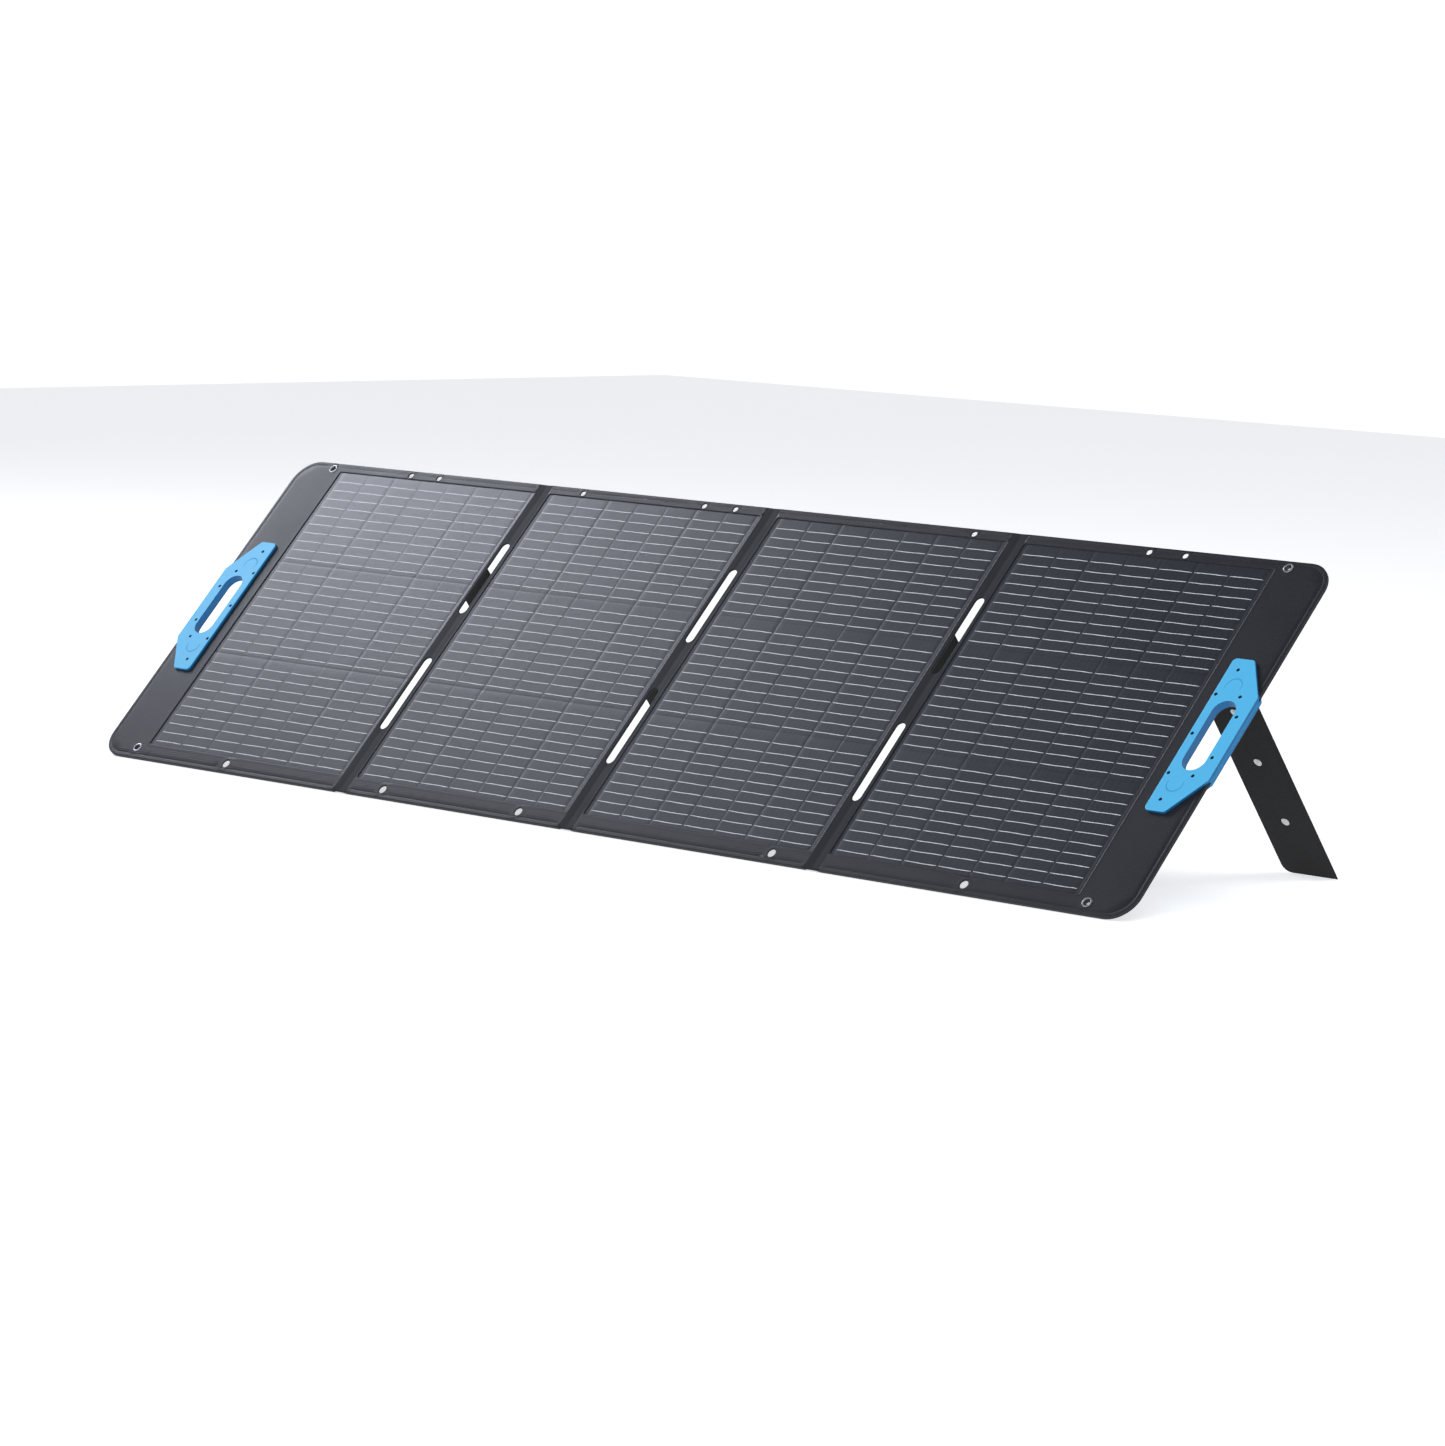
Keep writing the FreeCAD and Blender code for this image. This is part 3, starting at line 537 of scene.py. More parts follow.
def plate(name, outline, openings, faces_at, spacing, rings, material, body, matrix=PANEL,
          edge_loops=None, angle=38):
    """Closed plate between a front and a back surface, cut to an outline with openings.

    faces_at(points, edge, opening) gives both levels, from each point's distance to the
    outline's finished edges and to the nearest opening.
    """
    outline = dense(outline, spacing[2])
    openings = [dense(loop, spacing[2]) for loop in openings]
    loops = [outline, *openings]
    points = [point for loop in loops for point in loop]
    edges = []
    first = 0
    for loop in loops:
        edges += [(first + index, first + (index + 1) % len(loop)) for index in range(len(loop))]
        first += len(loop)
    low = np.min(outline, axis=0)
    high = np.max(outline, axis=0)
    across = np.linspace(low[0], high[0], max(2, int((high[0] - low[0]) / spacing[0]) + 1))
    along = np.linspace(low[1], high[1], max(2, int((high[1] - low[1]) / spacing[1]) + 1))
    grid = [(x, v) for x in across[1:-1] for v in along[1:-1]]
    grid = np.array(grid, float).reshape(-1, 2)
    pairs = segments(loops)
    ring_points = []
    for loop in loops:
        for distance in rings:
            ring = np.array(offset_ring(loop, distance))
            ring = ring[distances(ring, pairs) > distance * 0.93]
            ring_points.append(ring)
    clear = max(rings) if rings else 0
    grid = grid[distances(grid, pairs) > clear + min(spacing[:2]) * 0.35]
    free = np.concatenate([grid, *ring_points]) if ring_points else grid
    keep = inside(free, outline)
    for loop in openings:
        keep &= ~inside(free, loop)
    free = free[keep]
    points = np.concatenate([np.array(points, float), free])
    found = geometry.delaunay_2d_cdt([Vector(point) for point in points], edges, [], 0, 1e-5)
    flat = np.array([tuple(point) for point in found[0]])
    triangles = np.array(found[2])
    middle = flat[triangles].mean(1)
    keep = inside(middle, outline)
    for loop in openings:
        keep &= ~inside(middle, loop)
    triangles = triangles[keep]
    used = np.unique(triangles)
    renumber = np.full(len(flat), -1)
    renumber[used] = np.arange(len(used))
    flat = flat[used]
    triangles = renumber[triangles]
    edge_pairs = pairs if edge_loops is None else segments_open(edge_loops)
    edge = distances(flat, edge_pairs)
    opening = distances(flat, segments(openings)) if openings else np.full(len(flat), 1e3)
    front, back = faces_at(flat, edge, opening)
    count = len(flat)
    vertices = [(x, v, n) for (x, v), n in zip(flat, front)]
    vertices += [(x, v, n) for (x, v), n in zip(flat, back)]
    corner = flat[triangles]
    turn = np.cross(corner[:, 1] - corner[:, 0], corner[:, 2] - corner[:, 0])
    triangles = [(a, b, c) if z > 0 else (a, c, b)
                 for (a, b, c), z in zip(triangles.tolist(), turn)]
    sides = {}
    for a, b, c in triangles:
        for pair in ((a, b), (b, c), (c, a)):
            if (pair[1], pair[0]) in sides:
                del sides[(pair[1], pair[0])]
            else:
                sides[pair] = True
    faces = list(triangles)
    faces += [(c + count, b + count, a + count) for a, b, c in triangles]
    faces += [(b, a, a + count, b + count) for a, b in sides]
    return new_piece(name, vertices, faces, material, body, matrix, angle)


def ring_faces(first, rows, width, joined=False, turned=False):
    """Faces round a row of rings of points, which is capped, or joined end to end.

    The rings run anticlockwise, seen from the last one, or clockwise if turned.
    """
    faces = []
    for row in range(rows if joined else rows - 1):
        near, far = first + row * width, first + (row + 1) % rows * width
        for column in range(width):
            after = (column + 1) % width
            faces.append((near + column, far + column, far + after, near + after))
    if not joined:
        last = first + (rows - 1) * width
        faces += [tuple(range(first, first + width)), tuple(range(last, last + width))[::-1]]
    return [face[::-1] for face in faces] if turned else faces


def slab_faces(rows, columns):
    """Faces of a closed slab, whose points are a grid of its front and then one of its back."""
    count = rows * columns
    faces = []
    for row in range(rows - 1):
        for column in range(columns - 1):
            a = row * columns + column
            quad = (a, a + columns, a + columns + 1, a + 1)
            faces += [quad, tuple(index + count for index in reversed(quad))]
    rim = ([row * columns for row in range(rows)]
           + [(rows - 1) * columns + column for column in range(1, columns)]
           + [row * columns + columns - 1 for row in range(rows - 2, -1, -1)]
           + [column for column in range(columns - 2, 0, -1)])
    for index, a in enumerate(rim):
        b = rim[(index + 1) % len(rim)]
        faces.append((b, a, a + count, b + count))
    return faces


def segments_open(lines):
    """Segments of open lines."""
    pairs = [(line[index], line[index + 1]) for line in lines for index in range(len(line) - 1)]
    return np.array(pairs, float).reshape(-1, 2, 2)


def rounding(distance, radius, depth):
    """How far a rounded edge falls below its face, at a distance from the edge."""
    share = np.clip(1 - distance / radius, 0, 1)
    return depth * (1 - np.sqrt(np.maximum(0, 1 - share ** 2)))


def groove(distance, middle, wide, depth):
    """Depth of a soft groove whose middle is at a distance from an edge."""
    return depth * np.exp(-((distance - middle) / wide) ** 2)


def ripple(points, size, seed=0.0):
    """Slight unevenness of a soft surface, in millimetres."""
    x, v = points[:, 0], points[:, 1]
    return size * (np.sin(x / 61 + seed) * np.cos(v / 83 - seed)
                   + 0.5 * np.sin(x / 23 + v / 37 + 2 * seed)
                   + 0.3 * np.cos(v / 17 - x / 29 + seed))


def lathe(profile, places, name, material, body, matrix=PANEL, count=28, angle=32):
    """Turned piece, repeated at each place (x, v, n); the profile is (radius, height)."""
    points, faces = [], []
    for x, v, n in places:
        first = len(points)
        for radius, height in profile:
            for step in range(count):
                turn = 2 * math.pi * step / count
                points.append((x + radius * math.cos(turn), v + radius * math.sin(turn),
                               n + height))
        faces += ring_faces(first, len(profile), count, joined=True)
    return new_piece(name, points, faces, material, body, matrix, angle)


def stitches(line, length, gap, n, name, material, body, matrix=PANEL, wide=0.7, high=0.45,
             skip=None):
    """A row of thread stitches along a line of panel points, lying on a face at level n."""
    points, faces = [], []
    outward = 1 if n >= 0 or high > 0 else -1
    travelled, wanted = 0.0, 0.0
    for start, end in zip(line, line[1:]):
        long = math.dist(start, end)
        if long < 1e-6:
            continue
        ux, uv = (end[0] - start[0]) / long, (end[1] - start[1]) / long
        while wanted + length <= travelled + long:
            offset = wanted - travelled
            sx, sv = start[0] + ux * offset, start[1] + uv * offset
            wanted += length + gap
            if skip is not None and skip(sx, sv):
                continue
            first = len(points)
            for share, width, rise in ((0, 0.35, -0.15), (0.2, 0.9, 0.75), (0.5, 1, 1),
                                       (0.8, 0.9, 0.75), (1, 0.35, -0.15)):
                cx, cv = sx + ux * length * share, sv + uv * length * share
                for side, drop in ((-1, 0), (-0.55, 1), (0.55, 1), (1, 0)):
                    points.append((cx - uv * wide / 2 * width * side,
                                   cv + ux * wide / 2 * width * side,
                                   n + (rise * high if drop else -0.15 * outward)))
            faces += ring_faces(first, 5, 4, turned=high < 0)
        travelled += long
        wanted = max(wanted, travelled)
    return new_piece(name, points, faces, material, body, matrix, 60)


# ---------------------------------------------------------------- section outlines
def section_side(number):
    """Side of the middle fold: -1 for sections 1 and 2, which lie to the left."""
    return -1 if number <= 2 else 1


def section_range(number):
    """Both ends of a section's stiff part along x, the fold nearest the middle first."""
    side = section_side(number)
    if number in (2, 3):
        return side * BAND_HALF, side * (PITCH - BAND_HALF)
    return side * (PITCH + BAND_HALF), side * END


def section_outline(number):
    """Outline, and the finished edges of it, as loops of panel points."""
    near, far = section_range(number)
    left, right = min(near, far), max(near, far)
    if number in (2, 3):
        outline = [(left, 0), (right, 0), (right, RISE), (left, RISE)]
        return outline, [[(left, 0), (right, 0)], [(left, RISE), (right, RISE)]]
    if number == 4:
        edge = ([(left, 0)] + arc(right - CORNER, CORNER, CORNER, -90, 0, 12)
                + arc(right - CORNER, RISE - CORNER, CORNER, 0, 90, 12) + [(left, RISE)])
    else:
        edge = ([(right, RISE)] + arc(left + CORNER, RISE - CORNER, CORNER, 90, 180, 12)
                + arc(left + CORNER, CORNER, CORNER, 180, 270, 12) + [(right, 0)])
    return edge, [edge]


def tie_holes(number):
    """Plain round holes along both long edges of a section."""
    loops = []
    for x, is_pair in HOLES_X[number]:
        for offset in ((-HOLE_PAIR, HOLE_PAIR) if is_pair else (0,)):
            loops.append(circle(x + offset, *TOP_HOLE))
        loops.append(circle(x, *BOTTOM_HOLE))
    return loops


def end_openings(number, grow=0.0):
    """Eyelet holes and finger hole of an end section."""
    if number in (2, 3):
        return []
    side = section_side(number)
    loops = [circle(side * EYELET_X, v, EYELET_BARREL + grow) for v in EYELET_V]
    loops.append(stadium(side * FINGER_X, RISE / 2, FINGER_WIDE + 2 * grow,
                         FINGER_HIGH + 2 * grow))
    return loops


def section_openings(number):
    return tie_holes(number) + end_openings(number)


def press(points, edge, number):
    """Share by which the back is pressed up to the front fabric, round the tie holes."""
    gap = distances(points, segments(tie_holes(number)))
    share = np.clip((PRESS_REACH - gap) / PRESS_SLOPE, 0, 1)
    return share * share * (3 - 2 * share) * np.clip((edge - 0.6) / 1.6, 0, 1)


def cell_middle(number):
    """Middle of a section's cells along x."""
    return section_side(number) * (END_CELL if number in (1, 4) else CELL_HALF)


def window(number):
    """Opening of the front fabric over the cells."""
    middle = cell_middle(number)
    reach = WINDOW_HALF - WINDOW_CORNER
    low, high = WINDOW_LOW + WINDOW_CORNER, WINDOW_HIGH - WINDOW_CORNER
    corners = ((reach, low, -90), (reach, high, 0), (-reach, high, 90), (-reach, low, 180))
    return [point for offset, v, start in corners
            for point in arc(middle + offset, v, WINDOW_CORNER, start, start + 90, 4)]


HEM = 7.0
PRESS_REACH = 8.0
PRESS_SLOPE = 4.5
PRESSED = 1.85
BOARD_LOW = 28.5
BOARD_HIGH = TOP_HOLE[0] - TOP_HOLE[1] - PRESS_REACH
BOARD_FRONT = -2.65
BOARD_INSET = 2
BOARD_END_INSET = 16


def build_front(number):
    """Fabric frame round the laminate: rolled hem, welded line, pressed window lip."""
    outline, edges = section_outline(number)
    holes = section_openings(number)
    opening = window(number)
    window_pairs = segments([opening])
    hole_pairs = segments(holes)

    def faces_at(points, edge, near_hole):
        lip = distances(points, window_pairs)
        hole = distances(points, hole_pairs)
        front = (-rounding(edge, 1.6, 0.9) - groove(edge, HEM, 0.8, 0.28)
                 - rounding(hole, 1.0, 0.5) + groove(hole, 2.4, 1.2, 0.18)
                 - rounding(lip, 1.2, 0.75) + groove(lip, 2.6, 1.4, 0.12)
                 + ripple(points, 0.05, number) * np.clip(edge / 10, 0, 1))
        back = np.full(len(points), -FRONT_SKIN)
        back = np.where(edge < 0.2, SEAM_FRONT, back)
        back = np.where(lip < 0.05, -1.5, back)
        return front, back

    piece = plate(f"section_{number}_front_fabric", outline, [opening, *holes], faces_at,
                  (14, 14, 9), (0.4, 1.0, 1.7, 2.6, 4.2, 6.2, 7.0, 7.8), "front",
                  f"section_{number}", edge_loops=edges)
    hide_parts(f"section_{number}_front_cover")


def build_back(number):
    """Woven back cover, drawn tight over the board."""
    outline, edges = section_outline(number)
    holes = section_openings(number)

    def faces_at(points, edge, hole):
        bulge = np.clip(np.minimum(edge, 60) / 60, 0, 1)
        back = (-PANEL_THICK + rounding(edge, 1.6, 0.9) + groove(edge, HEM, 0.8, 0.28)
                + rounding(hole, 1.0, 0.5) - groove(hole, 2.4, 1.2, 0.18)
                + ripple(points, 0.07, number + 3) * bulge)
        pressed = press(points, edge, number)
        front = np.full(len(points), BACK_INNER)
        front = np.where(edge < 0.2, SEAM_BACK, front)
        back = back + (PANEL_THICK - PRESSED) * pressed
        front = front + (-BACK_INNER - FRONT_SKIN - 0.02) * pressed
        return front, back

    piece = plate(f"section_{number}_back_fabric", outline, holes, faces_at, (16, 16, 10),
                  (0.4, 1.0, 1.7, 2.6, 4.2, 6.2, 7.0, 7.8), "back", f"section_{number}",
                  edge_loops=edges)
    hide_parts(f"section_{number}_back_cover")


def build_board(number):
    """Stiff board between the fabrics, clear of the tie holes along both long edges."""
    near, far = section_range(number)
    side = section_side(number)
    inset = BOARD_INSET if number in (2, 3) else BOARD_END_INSET
    near, far = near + side * BOARD_INSET, far - side * inset
    left, right = min(near, far), max(near, far)
    outline = [(left, BOARD_LOW), (right, BOARD_LOW), (right, BOARD_HIGH), (left, BOARD_HIGH)]

    def faces_at(points, edge, hole):
        return np.full(len(points), BOARD_FRONT), np.full(len(points), BACK_INNER + 0.05)

    holes = [loop for loop in end_openings(number, 1)
             if all(BOARD_LOW + 3 < v < BOARD_HIGH - 3 for x, v in loop)]
    piece = plate(f"section_{number}_stiffener", outline, holes, faces_at, (24, 24, 14),
                  (), "board", f"section_{number}")
    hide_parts(f"section_{number}_board")


def build_band(number, fold_x):
    """Flexible strip of both fabrics across one fold, with its two slots."""
    left, right = fold_x - BAND_HALF, fold_x + BAND_HALF
    outline = [(left, 0), (right, 0), (right, RISE), (left, RISE)]
    slots = [stadium(fold_x, v, SLOT_WIDE, SLOT_HIGH, 8) for v in SLOT_CENTRES]

    def faces_at(points, edge, slot):
        offset = points[:, 0] - fold_x
        taper = np.clip((BAND_HALF - np.abs(offset)) / 5, 0, 1)
        crease = np.exp(-(offset / 3.2) ** 2)
        weld = groove(slot, 2.2, 1.1, 0.22) - rounding(slot, 1.1, 0.75)
        front = (-rounding(edge, 1.6, 0.9) - 0.55 * crease - 0.25 * taper + weld
                 + 0.06 * np.sin(points[:, 1] / 19 + fold_x) * taper)
        thin = taper * taper * (3 - 2 * taper)
        back = (-PANEL_THICK + rounding(edge, 1.6, 0.9) * (1 - thin) + 3.1 * thin
                + 0.3 * crease - weld)
        return front, back

    piece = plate(f"fold_{number}_band", outline, slots, faces_at, (3.5, 9, 5),
                  (0.5, 1.1, 2.2), "fold", None,
                  edge_loops=[[(left, 0), (right, 0)], [(left, RISE), (right, RISE)]])
    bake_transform(piece)


def build_laminate(number):
    """Pebbled film over the cells, with shallow valleys at the cell gaps."""
    middle = cell_middle(number)
    left, right = middle - WINDOW_HALF - 1.5, middle + WINDOW_HALF + 1.5
    low, high = WINDOW_LOW - 1.5, WINDOW_HIGH + 1.5
    block = (COLUMN_COUNT - 1) * COLUMN_PITCH + CELL_WIDE
    gaps_x = [middle - block / 2 + COLUMN_PITCH * index - (COLUMN_PITCH - CELL_WIDE) / 2
              for index in range(COLUMN_COUNT + 1)]
    gaps_v = [ROW_LOW + ROW_PITCH * index - (ROW_PITCH - CELL_HIGH) / 2
              for index in range(ROW_COUNT + 1)]

    def stations(start, stop, gaps, step, half):
        values = list(np.linspace(start, stop, int((stop - start) / step) + 1))
        values = [value for value in values
                  if all(abs(value - gap) > half * 2.2 for gap in gaps)] + [start, stop]
        for gap in gaps:
            values += [gap + half * share for share in (-1.6, -0.8, 0, 0.8, 1.6)]
        return np.array(sorted({round(min(max(value, start), stop), 3) for value in values}))

    across = stations(left, right, gaps_x, 8, 0.8)
    along = stations(low, high, gaps_v, 8, 1.6)
    grid_x, grid_v = np.meshgrid(across, along, indexing="ij")
    flat = np.stack([grid_x.ravel(), grid_v.ravel()], 1)
    level = np.full(len(flat), -1.04)
    for gap in gaps_x:
        level -= groove(flat[:, 0] - gap, 0, 0.75, 0.10)
    for gap in gaps_v[1:-1]:
        level -= groove(flat[:, 1] - gap, 0, 1.5, 0.12)
    for gap in (gaps_v[0], gaps_v[-1]):
        level -= groove(flat[:, 1] - gap, 0, 1.2, 0.06)
    level += ripple(flat, 0.035, number * 1.7)
    points = [(x, v, n) for (x, v), n in zip(flat, level)]
    points += [(x, v, -1.6) for x, v in flat]
    finish = "end_laminate" if number in (1, 4) else "laminate"
    piece = new_piece(f"section_{number}_laminate", points,
                      slab_faces(len(across), len(along)), finish, f"section_{number}")
    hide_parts(f"section_{number}_film")


def build_ribbons(number):
    """Solder ribbons showing through the film: thin wavy strips, one for each cell."""
    middle = cell_middle(number)
    block = (COLUMN_COUNT - 1) * COLUMN_PITCH + CELL_WIDE
    points, faces = [], []
    steps = 8
    for row in range(ROW_COUNT):
        for ribbon in range(RIBBON_COUNT):
            v = ROW_LOW + row * ROW_PITCH + RIBBON_LOW + ribbon * RIBBON_PITCH
            drift = random.uniform(0, 6.3)
            for column in range(COLUMN_COUNT):
                x = middle - block / 2 + column * COLUMN_PITCH + RIBBON_GAP
                long = CELL_WIDE - 2 * RIBBON_GAP
                lift = random.uniform(-0.12, 0.12)
                first = len(points)
                for step in range(steps + 1):
                    share = step / steps
                    cx = x + long * share
                    cv = v + lift + 0.22 * math.sin(cx / 9.5 + drift) + 0.1 * math.sin(cx / 3.1)
                    taper = 0.55 if step in (0, steps) else 1.0
                    half = RIBBON_WIDE / 2 * taper * (1 + 0.1 * math.sin(cx / 5 + drift))
                    top = -0.93 + ribbon_lift(cx, cv, number)
                    points += [(cx, cv - half, top - 0.3), (cx, cv - half * 0.7, top),
                               (cx, cv + half * 0.7, top), (cx, cv + half, top - 0.3)]
                faces += ring_faces(first, steps + 1, 4)
    piece = new_piece(f"section_{number}_ribbon_lines", points, faces, "ribbon",
                      f"section_{number}")
    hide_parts(f"section_{number}_ribbons")


def ribbon_lift(x, v, number):
    return float(ripple(np.array([[x, v]]), 0.035, number * 1.7)[0])


def edge_stitching(number):
    """Stitch row along the hem, front and back."""
    near, far = section_range(number)
    left, right = min(near, far), max(near, far)
    if number in (2, 3):
        lines = [[(left, v), (right, v)] for v in (HEM, RISE - HEM)]
    else:
        radius = CORNER - HEM
        side = section_side(number)
        outer = right - CORNER if side > 0 else left + CORNER
        lower = arc(outer, CORNER, radius, -90, 0, 14)
        upper = arc(outer, RISE - CORNER, radius, 0, 90, 14)
        if side < 0:
            lower = [(2 * outer - x, v) for x, v in lower]
            upper = [(2 * outer - x, v) for x, v in upper]
        inner = left if side > 0 else right
        lines = [[(inner, HEM), *lower, *upper, (inner, RISE - HEM)]]
    holes = segments(section_openings(number))

    def skip(x, v):
        in_handle = abs(x) > HANDLE_OUTER - HANDLE_WIDE - 2 and abs(v - RISE / 2) < 135
        return in_handle or distances([(x, v)], holes)[0] < 2.5

    for face, level, high in (("front", -0.2, 0.35), ("back", -PANEL_THICK + 0.2, -0.35)):
        for index, line in enumerate(lines, start=1):
            stitches(line, 2.6, 1.1, level, f"section_{number}_{face}_stitching_{index}",
                     "thread", f"section_{number}", high=high, skip=skip)


# ---------------------------------------------------------------- legs
def build_leg(number):
    """Leg's sewn sleeve, stitching and snaps, and the panel that holds its hinge."""
    side = section_side(number)
    name = f"leg_{number}"
    matrix = leg_matrix(number)
    half = LEG_HALF
    low = -LEG_LONG
    chamfer = [(-side * half, low + LEG_CORNER)]
    for share in (0.25, 0.5, 0.75):
        turn = math.radians(90 * share)
        chamfer.append((-side * (half - LEG_CORNER * (1 - math.cos(turn))),
                        low + LEG_CORNER * (1 - math.sin(turn))))
    chamfer.append((-side * (half - LEG_CORNER), low))
    outline = [(side * half, -LEG_TOP), (side * half, low), *reversed(chamfer),
               (-side * half, -LEG_TOP)]
    holes = [circle(0, distance - LEG_LONG, 1.9, 12) for distance in LEG_SNAPS]

    def faces_at(points, edge, hole):
        bulge = np.clip(edge / 12, 0, 1)
        shape = (rounding(edge, 1.7, 1.55) + groove(edge, 4.5, 0.9, 0.32)
                 - 0.12 * ripple(points, 1.0, number) * bulge * 0.5)
        return LEG_THICK / 2 - shape, -LEG_THICK / 2 + shape

    piece = plate(f"{name}_fabric", outline, holes, faces_at, (10, 12, 7),
                  (0.4, 0.9, 1.7, 3.4, 4.5, 5.6), "leg", name, matrix, None, 40)
    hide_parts(f"{name}_sleeve")
    sewn = half - LEG_HEM
    start = -LEG_TOP - LEG_HEM
    line = [(side * sewn, start), (side * sewn, low + LEG_HEM),
            (-side * (half - LEG_CORNER - 1), low + LEG_HEM),
            (-side * sewn, low + LEG_CORNER + 1), (-side * sewn, start), (side * sewn, start)]
    for face, sign in (("back", 1), ("face", -1)):
        stitches(line, 3.0, 1.2, sign * (LEG_THICK / 2 - 0.3), f"{name}_{face}_stitching",
                 "leg_thread", name, matrix, high=sign * 0.4)

    top = LEG_THICK / 2
    cap = [(0.01, top + 1.15), (2.2, top + 1.2), (2.6, top + 0.95), (3.4, top + 0.95),
           (3.9, top + 1.2), (5.2, top + 1.05), (6.2, top + 0.6), (6.5, top + 0.15),
           (6.1, top - 0.1), (1.8, top - 0.1), (1.8, -top + 0.1), (4.6, -top + 0.1),
           (5.0, -top - 0.2), (4.6, -top - 0.5), (3.2, -top - 0.6), (2.4, -top - 0.45),
           (1.6, -top - 0.2), (0.01, -top - 0.2)]
    places = [(0, distance - LEG_LONG, 0) for distance in LEG_SNAPS]
    snaps = lathe(cap, places, f"{name}_snap_fasteners", "snap", name, matrix)
    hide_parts(f"{name}_snaps")

    section = f"section_{number}"
    x = LEG_X[number]
    patch_line = [(x - half, PATCH_LOW), (x + half, PATCH_LOW), (x + half, PATCH_HIGH),
                  (x - half, PATCH_HIGH)]

    def patch_faces(points, edge, hole):
        back = (-PANEL_THICK - 1.0 + rounding(edge, 1.0, 0.8) + groove(edge, 5, 0.9, 0.25))
        return np.full(len(points), -PANEL_THICK + 0.05), back

    patch = plate(f"{name}_hinge_panel", patch_line, [], patch_faces, (8, 6, 6),
                  (0.3, 0.7, 1.2, 4.0, 5.0, 6.0), "leg", section)
    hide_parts(f"{name}_hinge_patch")
    line = [(x - half + 5, PATCH_LOW + 5), (x + half - 5, PATCH_LOW + 5),
            (x + half - 5, PATCH_HIGH - 5), (x - half + 5, PATCH_HIGH - 5),
            (x - half + 5, PATCH_LOW + 5), (x + half - 5, PATCH_HIGH - 5)]
    stitches(line, 3.0, 1.2, -PANEL_THICK - 0.75, f"{name}_hinge_stitching", "leg_thread",
             section, high=-0.4)
    build_web(number, matrix)


def build_web(number, matrix):
    """Fabric hinge between the patch and the leg, closed strip with a slack bend."""
    x = LEG_X[number]
    half = LEG_HALF - 1.5
    upper = at(x, PATCH_LOW + 3, -PANEL_THICK - 0.5)
    upper_dir = (at(x, 0) - at(x, 1)).normalized()
    lower = matrix @ Vector((0, -(LEG_TOP + 2) / 1000, 0))
    lower_dir = (lower - matrix.translation).normalized()
    reach = (lower - upper).length
    points = []
    steps, columns = 10, 12
    centre, normals = [], []
    for step in range(steps + 1):
        share = step / steps
        a, b, c, d = ((1 - share) ** 3, 3 * share * (1 - share) ** 2,
                      3 * share ** 2 * (1 - share), share ** 3)
        point = (upper * a + (upper + upper_dir * reach * 0.4) * b
                 + (lower - lower_dir * reach * 0.4) * c + lower * d)
        centre.append(point)
    for step in range(steps + 1):
        tangent = centre[min(step + 1, steps)] - centre[max(step - 1, 0)]
        normals.append(Vector((1, 0, 0)).cross(tangent.normalized()))
    for sign in (-1, 1):
        for step in range(steps + 1):
            for column in range(columns + 1):
                across = (column / columns * 2 - 1) * half / 1000
                points.append((centre[step] + Vector((across, 0, 0))
                               + normals[step] * sign * WEB_HALF / 1000) * 1000)
    piece = new_piece(f"leg_{number}_hinge_web", points, slab_faces(steps + 1, columns + 1),
                      "web", None, Matrix.Identity(4))
    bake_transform(piece)


# ---------------------------------------------------------------- handles, eyelets, box
def build_handle(name, side, section):
    """Fixing screws and embossed rings of one handle, whose plates stay as in CAD."""
    inner = HANDLE_OUTER - HANDLE_WIDE
    middle = RISE / 2
    places = [(side * (inner + across), middle + along, 0) for across, along in SCREWS]
    top = HANDLE_FRONT
    head = [(0.01, top - 2.2), (1.05, top - 2.1), (1.25, top - 0.9), (1.6, top - 0.75),
            (2.2, top - 0.85), (SCREW_HEAD, top - 1.15), (SCREW_HEAD, top - 1.75),
            (1.35, top - 1.8), (1.35, -6.5), (0.9, -7.4), (0.01, -7.7)]
    screws = lathe(head, places, f"{name}_handle_fixing_screws", "screw", section, count=18)
    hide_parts(f"{name}_handle_screws")

    points, faces = [], []
    around, tube = 48, 8
    for sign in (1, -1):
        cx, cv = side * (inner + EMBOSS_X), middle + sign * EMBOSS_V
        first = len(points)
        for step in range(around):
            turn = 2 * math.pi * step / around
            rise = 0.24 + 0.24 * math.sin(turn) * sign
            for part in range(tube):
                bend = 2 * math.pi * part / tube
                radius = EMBOSS_ROUND + 0.9 * math.cos(bend)
                points.append((cx + radius * math.cos(turn), cv + radius * math.sin(turn),
                               top - 0.25 + rise * math.sin(bend) + rise * 0.6))
        faces += ring_faces(first, around, tube, joined=True)
    # The rings' darker blue is painted shade, so that they read as grooves.
    new_piece(f"{name}_handle_embossed_rings", points, faces, "ring_shade_blue", section, angle=60)
    build_grip_wall(name, side, section)


def build_grip_wall(name, side, section):
    """Curved wall that closes the gap between the two plates along the grip, painted a deep blue
    as its shade.
    """
    profile = [(0.05, 0.0), (1.1, 0.0), (1.5, -0.5), (1.65, -1.6), (1.65, -4.0), (1.5, -5.1),
               (1.1, -PANEL_THICK), (0.05, -PANEL_THICK)]
    half = GRIP_STRAIGHT / 2 - 1
    rows = 24
    points = []
    for row in range(rows + 1):
        v = RISE / 2 - half + 2 * half * row / rows
        share = min(1.0, (half - abs(v - RISE / 2)) / 4 + 0.15)
        points += [(side * (END + reach * share), v, n) for reach, n in profile]
    faces = ring_faces(0, rows + 1, len(profile), turned=side > 0)
    # The wall's deep blue is painted shade of the same handle plastic.
    new_piece(f"{name}_handle_grip_wall", points, faces, "wall_shade_blue", section)


